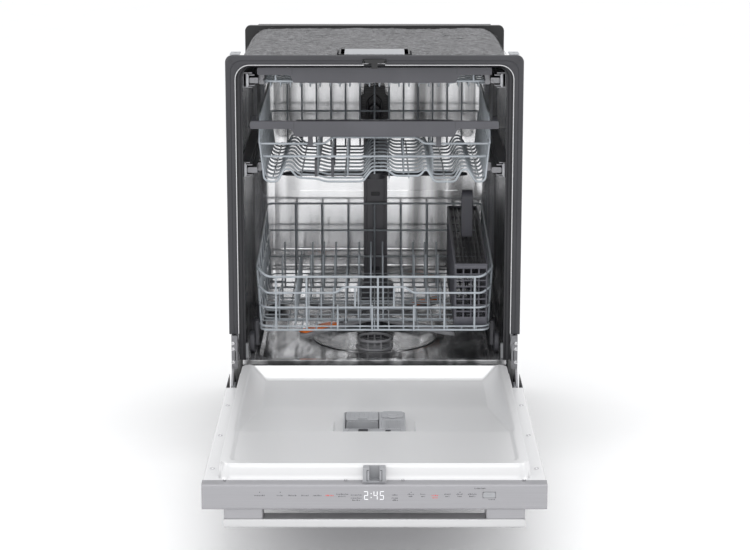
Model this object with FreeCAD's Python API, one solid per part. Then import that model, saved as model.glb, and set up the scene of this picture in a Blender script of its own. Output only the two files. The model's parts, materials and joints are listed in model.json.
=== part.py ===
"""Built-in dishwasher, door open: tub, door, three racks, spray arms, pumps and base.

Millimetres, +Z up, the door opens towards -Y.  The shapes are drawn with Y = 0 on the front
plane of the tub and moved at export, so that the origin is the middle of the footprint.
"""
import FreeCAD, Part
import os
from math import cos, radians, sin, tan

V = FreeCAD.Vector

# ---- driving dimensions -------------------------------------------------------------------
DOOR_W = 603.0            # width of the door
TOP_Z = 855.0             # top of the counter brackets above the floor
FRONT_Y = -712.0          # face of the start button, door open
PANEL_Y = -711.2          # face of the control panel, door open
BACK_Y = 600.0            # back of the rear frame
SHIFT_Y = -(FRONT_Y + BACK_Y) / 2

SHEET = 1.2               # sheet steel of the tub
TUB_HALF = 272.5          # half the inner width of the tub
TUB_TOP = 835.0           # inner ceiling of the tub
TUB_BACK = 545.0          # inner back wall of the tub
TUB_CORNER = 40.0         # radius of the tub's long corners
COLLAR_HALF = 279.5       # half the width of the stepped mouth that holds the gasket
COLLAR_DEPTH = 14.0
SILL_Z = 221.0            # sill and the ledges that the lower rack rolls on
SILL_Y = 4.8              # front of the sill, just behind the closed door
WELL_Z = 200.0            # floor of the tub around the sump
TRIM_HALF = 299.0
TRIM_TOP = 853.5
TRIM_END = 279.0
TRIM_WIDTH = 19.0
TRIM_CORNER = 14.0        # outer corner of the trim

PIVOT_Y = -38.0           # door hinge line
PIVOT_Z = 175.0
DOOR_HALF = DOOR_W / 2
DOOR_END_Y = 16.0         # lower end of the door, door open
SKIN_Z = 143.0            # outer face of the door, door open
FLANGE_Z = 189.0          # flange of the inner door
PLATEAU_Z = 217.0         # raised field of the inner door
BOSS_HALF = 276.5
BOSS_FAR = -10.0
BOSS_NEAR = -682.0
RECESS_HALF = 255.0

RECESS_FAR = -12.0        # far edge of the hollow of the inner door
RECESS_NEAR = -476.0
DOOR_SHEET = 0.8

DISH_Y, DISH_R = 279.0, 135.0
FILTER_Y, FILTER_R = 186.0, 38.0
HUB_Y = 286.0             # axis of the lower spray arm
ARM_REACH = 228.0
COUNTER_HOLE_R = 2.6
PUMP_X, PUMP_Y, PUMP_Z = 95.0, 330.0, 72.0
DRAIN_X, DRAIN_Y, DRAIN_Z = -180.0, 190.0, 66.0
DRAIN_HOSE_R, DRAIN_HOSE_X = 9.5, -165.0
INLET_R, INLET_X, INLET_Z = 13.2, -216.0, 75.0
LEG_X, LEG_FRONT_Y, LEG_REAR_Y, LEG_ROD_R = 255.0, 66.0, 540.0, 5.0

DISP_HALF, DISP_Y0, DISP_Y1, DISP_Z = 58.0, -480.0, -345.0, 213.0
CUP_X0, CUP_X1, CUP_Y0, CUP_Y1 = -52.0, 6.0, -452.0, -400.0
BUTTON_X, BUTTON_Z = 200.0, 170.5

WIRE_R = 2.2              # frame wires of the racks
TINE_R = 1.6
RAIL_LEN = 464.0
RACK_HALF, RACK_Y0, RACK_Y1 = 236.0, 14.0, 506.0
RACK_FLOOR, WHEEL_R, WHEEL_X0 = 283.0, 22.0, 250.5
WHEEL_Z = SILL_Z + 22.3
WHEEL_Y = (74.0, 192.0, 332.0, 450.0)
FOLD_X = -60.0            # axis of the tine row that folds down
CROSS_TINE_Y, CROSS_TINE_TOP = (98.0, 260.0, 396.0), (352.0, 388.0, 388.0)
CROSS_TINE_X = (-200.0, -138.0, -112.0, -86.0, -34.0, -8.0, 18.0, 86.0, 112.0, 138.0)
BASKET_X0, BASKET_X1, BASKET_Y0, BASKET_Y1, BASKET_Z0 = 165.0, 233.0, 20.0, 486.0, 285.0
UPPER_HALF, UPPER_Y0, UPPER_Y1, UPPER_Z = 230.0, 24.0, 476.0, 594.0
UPPER_RAIL_Z, UPPER_RAIL_X = 602.0, TUB_HALF - 0.3
THIRD_RAIL_Z, THIRD_RAIL_X = 785.0, 265.8
THIRD_HALF, THIRD_Y0, THIRD_Y1, THIRD_Z = 224.0, 30.0, 478.0, 786.0


# ---- shape helpers ------------------------------------------------------------------------
def block(x0, x1, y0, y1, z0, z1):
    return Part.makeBox(x1 - x0, y1 - y0, z1 - z0, V(x0, y0, z0))


def rod(start, end, radius):
    a, b = V(*start), V(*end)
    return Part.makeCylinder(radius, (b - a).Length, a, b - a)


def tube(start, end, outer, inner):
    """A pipe whose bore runs right through."""
    return rod(start, end, outer).cut(rod(start, end, inner))


PLANES = {"xz": lambda u, v, w: V(u, w, v), "xy": lambda u, v, w: V(u, v, w),
          "yz": lambda u, v, w: V(w, u, v)}


def plate(plane, corners, start, end):
    """Extrude a polygon of (u, v, corner radius) points between two levels of its normal."""
    place = PLANES[plane]
    spans = []
    for i, (u, v, radius) in enumerate(corners):
        before, after = corners[i - 1], corners[(i + 1) % len(corners)]
        here = V(u, v, 0)
        back = (V(before[0], before[1], 0) - here).normalize()
        ahead = (V(after[0], after[1], 0) - here).normalize()
        if radius <= 0:
            spans.append((here, None, here))
            continue
        half = back.getAngle(ahead) / 2
        middle = here + (back + ahead).normalize() * (radius / sin(half) - radius)
        reach = radius / tan(half)
        spans.append((here + back * reach, middle, here + ahead * reach))
    edges = []
    for i, (first, middle, last) in enumerate(spans):
        if middle is not None:
            arc = [place(p.x, p.y, start) for p in (first, middle, last)]
            edges.append(Part.Arc(*arc).toShape())
        nxt = spans[(i + 1) % len(spans)][0]
        if (nxt - last).Length > 1e-6:
            edges.append(Part.makeLine(place(last.x, last.y, start), place(nxt.x, nxt.y, start)))
    face = Part.Face(Part.Wire(edges))
    return face.extrude(place(0, 0, end) - place(0, 0, start))


def rect(u0, u1, v0, v1, radius=0):
    return [(u0, v0, radius), (u1, v0, radius), (u1, v1, radius), (u0, v1, radius)]


def arch(half, top, foot, radius):
    """Upside-down U outline, square at the foot."""
    return [(-half, foot, 0), (-half, top, radius), (half, top, radius), (half, foot, 0)]


def mirrored(shape):
    return shape.mirror(V(0, 0, 0), V(1, 0, 0))


def both(*shapes):
    return [s for shape in shapes for s in (shape, mirrored(shape))]


def bent_wire(points, radius, bend=12.0, closed=False):
    """Straight rods joined by round bends, each its own solid of one welded wire frame."""
    pts = [V(*p) for p in points]
    count = len(pts)
    solids, cuts = [], {}
    for i in range(count):
        if not closed and i in (0, count - 1):
            cuts[i] = (pts[i], pts[i])
            continue
        back = (pts[i - 1] - pts[i]).normalize()
        ahead = (pts[(i + 1) % count] - pts[i]).normalize()
        half = back.getAngle(ahead) / 2
        reach = bend / tan(half)
        first, last = pts[i] + back * reach, pts[i] + ahead * reach
        middle = pts[i] + (back + ahead).normalize() * (bend / sin(half) - bend)
        spine = Part.Wire([Part.Arc(first, middle, last).toShape()])
        section = Part.Wire([Part.makeCircle(radius, first, back * -1)])
        solids.append(spine.makePipeShell([section], True, True))
        cuts[i] = (first, last)
    for i in range(count if closed else count - 1):
        a, b = cuts[i][1], cuts[(i + 1) % count][0]
        solids.append(Part.makeCylinder(radius, (b - a).Length, a, b - a))
    return solids


def around(y, radius, count):
    """Places (x, y) on a circle about the middle plane."""
    turns = [radians(360 * (i + 0.5) / count) for i in range(count)]
    return [(radius * cos(a), y + radius * sin(a)) for a in turns]


def spread(first, last, count):
    """Evenly spaced values from first to last."""
    return [first + (last - first) * i / (count - 1) for i in range(count)]


# ---- tub and its front ------------------------------------------------------------------------
def tub_shell():
    outer, seam = TUB_HALF + SHEET, 500.0
    foot = SILL_Z - 1.2
    walls = plate("xz", arch(outer, TUB_TOP + SHEET, foot, TUB_CORNER + SHEET), COLLAR_DEPTH, seam)
    walls = walls.cut(plate("xz", arch(TUB_HALF, TUB_TOP, foot - 1, TUB_CORNER), 0, seam + 1))
    mouth = plate("xz", arch(COLLAR_HALF, TRIM_TOP - TRIM_WIDTH, foot - 1, 31), -1, COLLAR_DEPTH)
    collar = plate("xz", arch(COLLAR_HALF + 1.5, TRIM_TOP - TRIM_WIDTH + 1.5, foot, 32), 0,
                   COLLAR_DEPTH + SHEET)
    step = plate("xz", arch(TUB_HALF, TUB_TOP - 1.4, foot - 1, TUB_CORNER), 0, 40)
    flange = plate("xz", arch(TRIM_HALF - 1, TRIM_TOP - 0.5, foot, TRIM_CORNER - 1), 0, SHEET)
    flange = flange.cut(both(block(289.5, 300, -1, 2, foot - 1, TRIM_END + 1)))
    latch_gap = block(-24, 24, -1, 6, TRIM_TOP - TRIM_WIDTH - 1, 846)
    return [walls.fuse(collar).fuse(flange).cut([mouth, step, latch_gap]).removeSplitter()]


def tub_back():
    seam, radius = 500.0, 45.0
    outer = TUB_BACK + SHEET
    wall = plate("xy", [(-TUB_HALF - SHEET, seam, 0), (-TUB_HALF - SHEET, outer, radius),
                        (TUB_HALF + SHEET, outer, radius), (TUB_HALF + SHEET, seam, 0)],
                 SILL_Z - 1.2, TUB_TOP + SHEET)
    hollow = plate("xy", [(-TUB_HALF, seam - 1, 0), (-TUB_HALF, TUB_BACK, radius - 1.2),
                          (TUB_HALF, TUB_BACK, radius - 1.2), (TUB_HALF, seam - 1, 0)],
                   SILL_Z - 2, TUB_TOP)
    band = block(-190, 190, TUB_BACK - 3, TUB_BACK + 0.2, 462, 478)
    ridges = [block(-215, 215, TUB_BACK - 3, TUB_BACK + 0.2, z, z + 7) for z in (296, 316, 334)]
    pan = wall.cut(hollow).fuse([band] + ridges)
    inside = plate("xz", arch(TUB_HALF, TUB_TOP, SILL_Z - 2, TUB_CORNER), seam - 1, outer + 1)
    shoulders = block(-300, 300, seam, outer + 1, TUB_TOP - TUB_CORNER, TUB_TOP + 5)
    rounded = plate("xz", arch(TUB_HALF + SHEET, TUB_TOP + SHEET, SILL_Z - 2, TUB_CORNER + SHEET),
                    seam - 1, outer + 1)
    corner = rounded.cut(inside).common(shoulders).common(wall)
    return [pan.common(rounded).fuse(corner).removeSplitter()]


def tub_floor():
    far = TUB_BACK - 0.3
    ledge_edge = [(-TUB_HALF, SILL_Y, 0), (-TUB_HALF, far, 44), (TUB_HALF, far, 44), (TUB_HALF, SILL_Y, 0)]
    ledge = plate("xy", ledge_edge, SILL_Z - 1.2 - SHEET, SILL_Z - 1.2)
    tracks = both(block(TUB_HALF - 24, TUB_HALF - 1, 16, 498, SILL_Z - 1.2, SILL_Z))
    well_outer = plate("xy", rect(-242, 242, 16, 528, 50), WELL_Z - SHEET, SILL_Z - 1.2)
    well = plate("xy", rect(-240.8, 240.8, 17.2, 526.8, 49), WELL_Z, SILL_Z + 5)
    sill = block(-TUB_HALF, TUB_HALF, SILL_Y, 18, SILL_Z - 10, SILL_Z)
    mouth = rod((0, DISH_Y, WELL_Z - 9), (0, DISH_Y, WELL_Z + 9), DISH_R - 1.8)
    return [ledge.fuse([well_outer, sill] + tracks).cut(well).cut(mouth).removeSplitter()]


def insulation_blanket():
    gap, thick, top_thick = SHEET + 0.5, 9.0, 16.0
    half, top = TUB_HALF + gap, TUB_TOP + gap
    outer = plate("xz", arch(half + thick, top + top_thick, 262, TUB_CORNER + 9), 22, 536)
    inner = plate("xz", arch(half, top, 260, TUB_CORNER + gap), 0, 560)
    cutout = block(-70, 70, 0, 95, TUB_TOP, TOP_Z)
    return [outer.cut(inner).cut(cutout)]


def trim_frame():
    outer = plate("xz", arch(TRIM_HALF, TRIM_TOP, TRIM_END, TRIM_CORNER), -8, 0)
    inner = plate("xz", arch(TRIM_HALF - TRIM_WIDTH + 0.5, TRIM_TOP - TRIM_WIDTH, TRIM_END - 1, 30),
                  -9, 1)
    notch = block(-24, 24, -9, 1, TRIM_TOP - TRIM_WIDTH - 1, 846)
    return [outer.cut(inner).cut(notch)]


def door_gasket():
    foot = SILL_Z + 0.3
    outer = plate("xz", arch(COLLAR_HALF - 0.2, TRIM_TOP - TRIM_WIDTH - 0.2, foot, 30.8), 4.6,
                  COLLAR_DEPTH - 0.1)
    inner = plate("xz", arch(265.5, 828.5, foot - 1, 26), 0, 40)
    return [outer.cut(inner)]


def corner_baffles():
    baffle = plate("yz", [(15, 222, 0), (34, 222, 3), (34, 252, 8), (15, 252, 2)], 262, TUB_HALF - 0.4)
    return both(baffle)


def strike_bracket():
    top = block(-68, 68, 4, 92, TOP_Z - 1.6, TOP_Z)
    legs = both(block(66.4, 68, 4, 92, TUB_TOP + SHEET, TOP_Z - 1.6))
    return [top.fuse(legs)]


def latch_strike():
    body = block(-19, 19, -19, 0, 839, 846)
    tongue = block(-6, 6, -17, -9, 828, 839)
    return [body.fuse(tongue)]


def counter_brackets():
    strap = plate("xy", rect(270, 290, 0, 46, 3), TRIM_TOP, TOP_Z)
    strap = strap.cut(rod((280, 30, TRIM_TOP - 1), (280, 30, TOP_Z + 1), COUNTER_HOLE_R))
    return both(strap)


def rear_frame():
    """Ribbed black frame behind the tub: rounded bars with upright ribs along the top."""
    half, corner, y0 = 292.0, 12.0, TUB_BACK + SHEET + 0.3
    y1 = y0 + 14
    top = plate("xz", [(-half, 800, 0), (-half, TOP_Z, corner), (half, TOP_Z, corner), (half, 800, 0)], y0, y1)
    foot = plate("xz", [(-half, 199, corner), (-half, 240, 0), (half, 240, 0), (half, 199, corner)], y0, y1)
    sides = both(block(half - 40, half, y0, y1, 240, 800))
    ribs = [block(x, x + 3, y1, BACK_Y, 806, 850) for x in spread(-250, 247, 15)]
    flanges = [block(-264, 264, y1, BACK_Y, z, z + 3) for z in (803, 850)]
    return [top, foot] + sides + ribs + flanges


# ---- water parts ----------------------------------------------------------------------------


def sump_dish():
    outline = [(0, 188), (98, 188), (DISH_R - 2, WELL_Z), (DISH_R, WELL_Z), (DISH_R, WELL_Z + 1.5),
               (DISH_R - 3, WELL_Z + 1.5), (97.5, 189.2), (0, 189.2)]
    profile = [V(radius, DISH_Y, z) for radius, z in outline]
    edges = [Part.makeLine(a, b) for a, b in zip(profile, profile[1:] + profile[:1])]
    dish = Part.Face(Part.Wire(edges)).revolve(V(0, DISH_Y, 0), V(0, 0, 1), 360)
    return [dish.cut(rod((0, FILTER_Y, 150), (0, FILTER_Y, 250), FILTER_R + 1.5))]


def sump_body():
    outer = rod((0, 236, 100), (0, 236, 187.8), 96)
    inner = rod((0, 236, 103), (0, 236, 190), 93)
    return [outer.cut(inner)]


def spray_hub():
    return [tube((0, HUB_Y, 189.3), (0, HUB_Y, 236), 21, 17)]


def pump_housing(x0, x1, y, z, outer, inner):
    shell = rod((x0, y, z), (x1, y, z), outer)
    return shell.cut(rod((x0 + 3, y, z), (x1 - 3, y, z), inner))


def circulation_pump():
    volute = pump_housing(PUMP_X, PUMP_X + 44, PUMP_Y, PUMP_Z, 46, 43)
    motor = rod((PUMP_X + 44, PUMP_Y, PUMP_Z), (PUMP_X + 130, PUMP_Y, PUMP_Z), 38)
    return [volute.fuse(motor)]


def impeller(x0, y, z, radius, depth):
    disc = rod((x0, y, z), (x0 + 3, y, z), radius)
    hub = rod((x0, y, z), (x0 + depth, y, z), radius * 0.28)
    blades = []
    for i in range(6):
        blade = block(x0 + 2, x0 + depth, y - 1.2, y + 1.2, z + radius * 0.2, z + radius * 0.92)
        blade.rotate(V(x0, y, z), V(1, 0, 0), 60 * i)
        blades.append(blade)
    return [disc.fuse([hub] + blades)]


def drain_pump():
    """Drain pump; its hose spigot points back, towards the window in the rear of the base."""
    x = DRAIN_HOSE_X
    volute = pump_housing(DRAIN_X, DRAIN_X + 30, DRAIN_Y, DRAIN_Z, 27, 24.5)
    motor = rod((DRAIN_X - 44, DRAIN_Y, DRAIN_Z), (DRAIN_X, DRAIN_Y, DRAIN_Z), 22)
    collar = rod((x, DRAIN_Y + 25, DRAIN_Z), (x, DRAIN_Y + 31, DRAIN_Z), DRAIN_HOSE_R + 3)
    spigot = rod((x, DRAIN_Y + 30, DRAIN_Z), (x, DRAIN_Y + 59, DRAIN_Z), DRAIN_HOSE_R)
    bore = rod((x, DRAIN_Y + 20, DRAIN_Z), (x, DRAIN_Y + 60, DRAIN_Z), DRAIN_HOSE_R - 2.5)
    return [volute.fuse([motor, collar, spigot]).cut(bore)]


def inlet_valve():
    """Water valve; its threaded spigot points back too."""
    body = plate("xy", rect(INLET_X - 20, INLET_X + 20, 250, 296, 5), 25.2, INLET_Z + 19)
    spigot = rod((INLET_X, 296, INLET_Z), (INLET_X, 322, INLET_Z), INLET_R)
    bore = rod((INLET_X, 290, INLET_Z), (INLET_X, 323, INLET_Z), INLET_R - 3)
    coil = rod((INLET_X, 226, 56), (INLET_X, 250, 56), 13)
    return [body.fuse([spigot, coil]).cut(bore)]


def junction_box():
    return [plate("xy", rect(146, 220, 60, 130, 6), 25.2, 72)]


def filter_cup():
    cup = tube((0, FILTER_Y, 112), (0, FILTER_Y, 203), FILTER_R - 2, FILTER_R - 4.5)
    floor = rod((0, FILTER_Y, 112), (0, FILTER_Y, 115), FILTER_R - 2)
    rim = tube((0, FILTER_Y, 201.8), (0, FILTER_Y, 206), FILTER_R + 3, FILTER_R - 4.5)
    grip = block(-2, 2, FILTER_Y - FILTER_R + 4, FILTER_Y + FILTER_R - 4, 204, 224)
    ring = tube((0, FILTER_Y, 219), (0, FILTER_Y, 225), FILTER_R, FILTER_R - 4)
    posts = [rod((x, y, 205), (x, y, 220), 2) for x, y in around(FILTER_Y, FILTER_R - 2, 8)]
    return [cup.fuse([floor, rim, grip, ring] + posts)]


def spray_arm(y, z0, reach, turns, thick=11.0, width=34.0, hub_r=30.0, hub_drop=0.0):
    """Flat hollow arms about a hub; turns are the directions of the arms in degrees."""
    hub = rod((0, y, z0 - hub_drop), (0, y, z0 + thick + 4), hub_r)
    arms = []
    for turn in turns:
        blade = plate("xy", [(0, -width / 2, 0), (reach - 40, -width / 2, 20), (reach, -width * 0.3, 10),
                             (reach, width * 0.3, 10), (reach - 40, width / 2, 20), (0, width / 2, 0)],
                      z0, z0 + thick)
        blade.translate(V(0, y, 0))
        blade.rotate(V(0, y, 0), V(0, 0, 1), turn)
        arms.append(blade)
    nozzles = [rod((r * cos(radians(t)), y + r * sin(radians(t)), z0 + thick - 4),
                   (r * cos(radians(t)), y + r * sin(radians(t)), z0 + thick + 5), 3)
               for t in turns for r in (0.45 * reach, 0.68 * reach, 0.88 * reach)]
    return hub.fuse(arms).cut(nozzles)


def lower_spray_arm():
    arm = spray_arm(HUB_Y, 239, ARM_REACH, (-134, -42, 46, 138))
    return [arm.cut(rod((0, HUB_Y, 238), (0, HUB_Y, 250), 17))]


# ---- back wall --------------------------------------------------------------------------------
def feed_duct():
    channel = plate("xz", rect(-25, 29, 224, 646, 6), TUB_BACK - 24, TUB_BACK - 3.2)
    foot = plate("xz", rect(-40, 44, 222, 262, 8), TUB_BACK - 27, TUB_BACK - 3.2)
    return [channel.fuse(foot)]


def upper_dock():
    dock = plate("xz", [(-31.5, 647, 4), (-31.5, 724, 26), (31.5, 724, 26), (31.5, 647, 4)], 512,
                 TUB_BACK - 3.2)
    return [dock.cut(rod((0, 505, 672), (0, 535, 672), 13))]


# ---- base -------------------------------------------------------------------------------------
def base_pan():
    half, y0, y1, wall = 297.0, 30.0, 590.0, 3.0
    tray = block(-half, half, y0, y1, 22, 198)
    tray = tray.cut(block(-half + wall, half - wall, y0 + wall, y1 - wall, 25, 199))
    front = block(-half - 1, half + 1, y0 - 1, y0 + wall + 1, 102, 199)
    windows = [block(x, x + 120, y1 - 10, y1 + 1, 35, 160) for x in (-242, 122)]
    tray = tray.cut([front] + windows)
    bosses = [rod((x, y, 25), (x, y, 50), 11) for x in (-LEG_X, LEG_X) for y in (LEG_FRONT_Y, LEG_REAR_Y)]
    posts = [block(x, x + 20, y, y + 20, 22, 198) for x in (-294, 274) for y in (345, 470)]
    cradles = [block(PUMP_X + 50, PUMP_X + 60, PUMP_Y - 30, PUMP_Y + 30, 25, PUMP_Z - 38.2),
               block(PUMP_X + 110, PUMP_X + 120, PUMP_Y - 30, PUMP_Y + 30, 25, PUMP_Z - 38.2),
               block(DRAIN_X - 30, DRAIN_X - 20, DRAIN_Y - 15, DRAIN_Y + 15, 25, DRAIN_Z - 22.2)]
    tray = tray.fuse(bosses + posts + cradles)
    holes = [rod((x, y, 20), (x, y, 60), LEG_ROD_R + 0.4)
             for x in (-LEG_X, LEG_X) for y in (LEG_FRONT_Y, LEG_REAR_Y)]
    return [tray.cut(holes).removeSplitter()]


def toe_kick():
    panel = plate("xz", rect(-296, 296, 12, 99, 3), 27.5, 29.7)
    return [panel.cut([block(x, x + 50, 20, 40, 26, 31) for x in spread(-240, 190, 5)])]


def leg(x, y):
    foot = rod((x, y, 0), (x, y, 7), 19).fuse(rod((x, y, 7), (x, y, 14), 12))
    return foot.fuse(rod((x, y, 12), (x, y, 92), LEG_ROD_R))


# ---- hinge ------------------------------------------------------------------------------------
def hinge_brackets():
    cheek = plate("yz", [(-18, 279, 2), (-18, 206, 8), (PIVOT_Y - 12, PIVOT_Z + 4, 8),
                         (PIVOT_Y - 12, PIVOT_Z - 13, 10), (PIVOT_Y + 18, PIVOT_Z - 13, 8), (24, 186, 12),
                         (66, 150, 4), (66, 279, 2)], 290, 294)
    front = plate("xz", rect(281.6, 294, 208, 278.5, 3), -18, -14.5)
    front = front.cut(rod((288, -20, 262), (288, -10, 262), 2.4))
    pin = rod((283.5, PIVOT_Y, PIVOT_Z), (290, PIVOT_Y, PIVOT_Z), 4)
    return both(cheek.fuse(front), pin)


def hinge_arms():
    arm = plate("yz", [(PIVOT_Y + 12, PIVOT_Z + 11, 11), (PIVOT_Y + 12, PIVOT_Z - 13, 11),
                       (PIVOT_Y - 190, SKIN_Z + 3, 4), (PIVOT_Y - 190, SKIN_Z + 26, 4)], 284.5, 288.5)
    return both(arm.cut(rod((280, PIVOT_Y, PIVOT_Z), (295, PIVOT_Y, PIVOT_Z), 4.3)))


def door_springs():
    coil = rod((287, 120, 120), (287, 250, 120), 6.5)
    hook = rod((287, 250, 120), (287, 330, 120), 1.5)
    link = rod((287, 68, 120), (287, 120, 120), 1.5)
    anchor = block(284, 294, 330, 336, 112, 128)
    return both(coil.fuse([hook, link, anchor]))


# ---- door -------------------------------------------------------------------------------------
def door_panel():
    tip, sheet = FRONT_Y + 14, DOOR_SHEET
    skin = block(-DOOR_HALF, DOOR_HALF, tip, DOOR_END_Y, SKIN_Z, SKIN_Z + sheet)
    sides = both(block(DOOR_HALF - sheet, DOOR_HALF, tip, DOOR_END_Y, SKIN_Z, FLANGE_Z - 1.2))
    end = block(-270, 270, DOOR_END_Y - sheet, DOOR_END_Y, SKIN_Z, FLANGE_Z - 12)
    return [skin.fuse(sides + [end]).removeSplitter()]


def recess(grow):
    """The hollow of the inner door, with sloping walls; grow moves the walls outwards."""
    g = grow
    hollow = plate("yz", [(RECESS_FAR + g, 240, 0), (RECESS_FAR + g, PLATEAU_Z + g, 0),
                          (RECESS_FAR - 28 + g, FLANGE_Z - g, 14), (-232 - g * 0.4, FLANGE_Z - g, 60),
                          (RECESS_NEAR - g, PLATEAU_Z - g * 0.2, 0), (RECESS_NEAR - g, 240, 0)],
                   -RECESS_HALF - g, RECESS_HALF + g)
    slope = plate("xz", [(RECESS_HALF + g, PLATEAU_Z, 0), (RECESS_HALF + g + 20, PLATEAU_Z, 0),
                         (RECESS_HALF + g + 20, FLANGE_Z - g - 2, 0),
                         (RECESS_HALF + g - 32, FLANGE_Z - g - 2, 0)], -490, 0)
    return hollow.cut(both(slope))


def door_liner():
    t = DOOR_SHEET
    flange = block(-DOOR_HALF + 0.2, DOOR_HALF - 0.2, -700, DOOR_END_Y, FLANGE_Z - t, FLANGE_Z)
    boss = plate("xy", rect(-BOSS_HALF, BOSS_HALF, BOSS_NEAR, BOSS_FAR, 24), FLANGE_Z - t, PLATEAU_Z)
    under = plate("xy", rect(-BOSS_HALF + t, BOSS_HALF - t, BOSS_NEAR + t, BOSS_FAR - t, 23), FLANGE_Z - 3,
                  PLATEAU_Z - t)
    shell = flange.fuse(boss).cut(under.cut(recess(t))).cut(recess(0))
    room = boss.fuse(block(-258, 258, -480, -8, 180, FLANGE_Z))
    shell = shell.fuse(recess(t).cut(recess(0)).common(room))
    corners = both(block(279.4, 297, -92, 20, 180, 195))
    cup = block(-CUP_X1, -CUP_X0, CUP_Y0, CUP_Y1, 150, 240)
    pocket = block(-DISP_HALF - 0.3, DISP_HALF + 0.3, DISP_Y0 - 0.3, DISP_Y1 + 0.3, 150, 240)
    return [shell.cut(corners + [cup, pocket]).removeSplitter()]


def dispenser_body():
    body = plate("xy", rect(-DISP_HALF, DISP_HALF, DISP_Y0, DISP_Y1, 8), 176, DISP_Z)
    cup = plate("xy", rect(CUP_X0, CUP_X1, CUP_Y0, CUP_Y1, 8), 182, DISP_Z + 1)
    lid_bed = block(CUP_X0 - 3, CUP_X1 + 3, CUP_Y0 - 3, DISP_Y1 + 1, DISP_Z - 3, DISP_Z + 1)
    tank = rod((34, -368, 192), (34, -368, DISP_Z + 1), 15)
    return [body.cut([cup, lid_bed, tank])]


def detergent_lid():
    lid = plate("xy", rect(CUP_X0 - 2, CUP_X1 + 2, -398, -347, 4), DISP_Z - 2.7, DISP_Z - 0.2)
    grip = block(-30, -16, -396, -392, DISP_Z - 0.4, DISP_Z + 3)
    return [lid.fuse(grip)]


def rinse_cap():
    return [plate("xy", rect(14, 54, -388, -348, 6), DISP_Z + 0.3, DISP_Z + 3.5)]


def door_insulation():
    return [block(-270, 270, -320, -20, SKIN_Z + DOOR_SHEET + 0.2, SKIN_Z + 5)]


def control_panel():
    section = [(PANEL_Y, 147, 2), (PANEL_Y, 188.5, 4), (-690, FLANGE_Z + 1.7, 0),
               (-690, FLANGE_Z + 0.3, 0), (-700.5, FLANGE_Z + 0.3, 0), (-700.5, SKIN_Z + 0.5, 0),
               (PANEL_Y + 2, SKIN_Z + 0.5, 1)]
    outer = plate("yz", section, -DOOR_HALF, DOOR_HALF)
    hollow = block(-DOOR_HALF + 3, DOOR_HALF - 3, PANEL_Y + 2.4, -702.5, SKIN_Z + 5, FLANGE_Z - 4)
    bore = block(BUTTON_X - 11.4, BUTTON_X + 11.4, PANEL_Y - 1, PANEL_Y + 4, BUTTON_Z - 5.6, BUTTON_Z + 5.6)
    notch = block(-21, 21, -700, -688, FLANGE_Z, FLANGE_Z + 4)
    return [outer.cut([hollow, bore, notch])]


def start_button():
    cap = plate("xz", rect(BUTTON_X - 11, BUTTON_X + 11, BUTTON_Z - 5.2, BUTTON_Z + 5.2, 2), FRONT_Y,
                FRONT_Y + 6)
    return [cap]


def control_board():
    return [block(-150, 150, -697.5, -684, SKIN_Z + 5, FLANGE_Z - 6)]


def door_handle():
    """Bar handle, a channel open towards the door, on two end blocks."""
    half, y0, y1, front, back = 264, -708, -668, 108, 125
    bar = plate("yz", rect(y0, y1, front, back, 4), -half, half)
    channel_space = block(-194, 194, y0 + 3, y1 - 3, front + 3, back + 1)
    ends = both(plate("xy", rect(194, half, y0 + 2, y1 - 2, 5), back - 1, SKIN_Z))
    hollow = both(block(200, half - 6, y0 + 8, y1 - 8, front + 4, SKIN_Z - 4))
    return [bar.cut(channel_space).fuse(ends).cut(hollow)]


def latch_housing():
    body = block(-20, 20, -700, BOSS_NEAR, FLANGE_Z, PLATEAU_Z - 1)
    slot = block(-9, 9, -701, BOSS_NEAR - 1.5, FLANGE_Z + 2, PLATEAU_Z)
    channel = block(8, 18, -696.5, -689.5, 193.5, 200.5)
    return [body.cut([slot, channel])]


def latch_bolt():
    return [plate("xz", [(9.3, 194, 0), (15, 194, 0), (15, 200, 0), (12, 200, 0)], -696, -690)]


def door_screws():
    lip_z = FLANGE_Z + 2.3
    sides = [rod((x, y, FLANGE_Z), (x, y, FLANGE_Z + 1.6), 4.2)
             for x in (-289, 289) for y in (-620, -420, -220)]
    tip = [rod((x, -691, lip_z), (x, -691, lip_z + 1.1), 3) for x in (-262, -50, 50, 262)]
    return sides + tip


# ---- lower rack -------------------------------------------------------------------------------
def rack_ring(z_front, z_back, half, y0, y1):
    return bent_wire([(-half, y0, z_front), (half, y0, z_front), (half, y1, z_back), (-half, y1, z_back)],
                     WIRE_R, closed=True)


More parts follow.
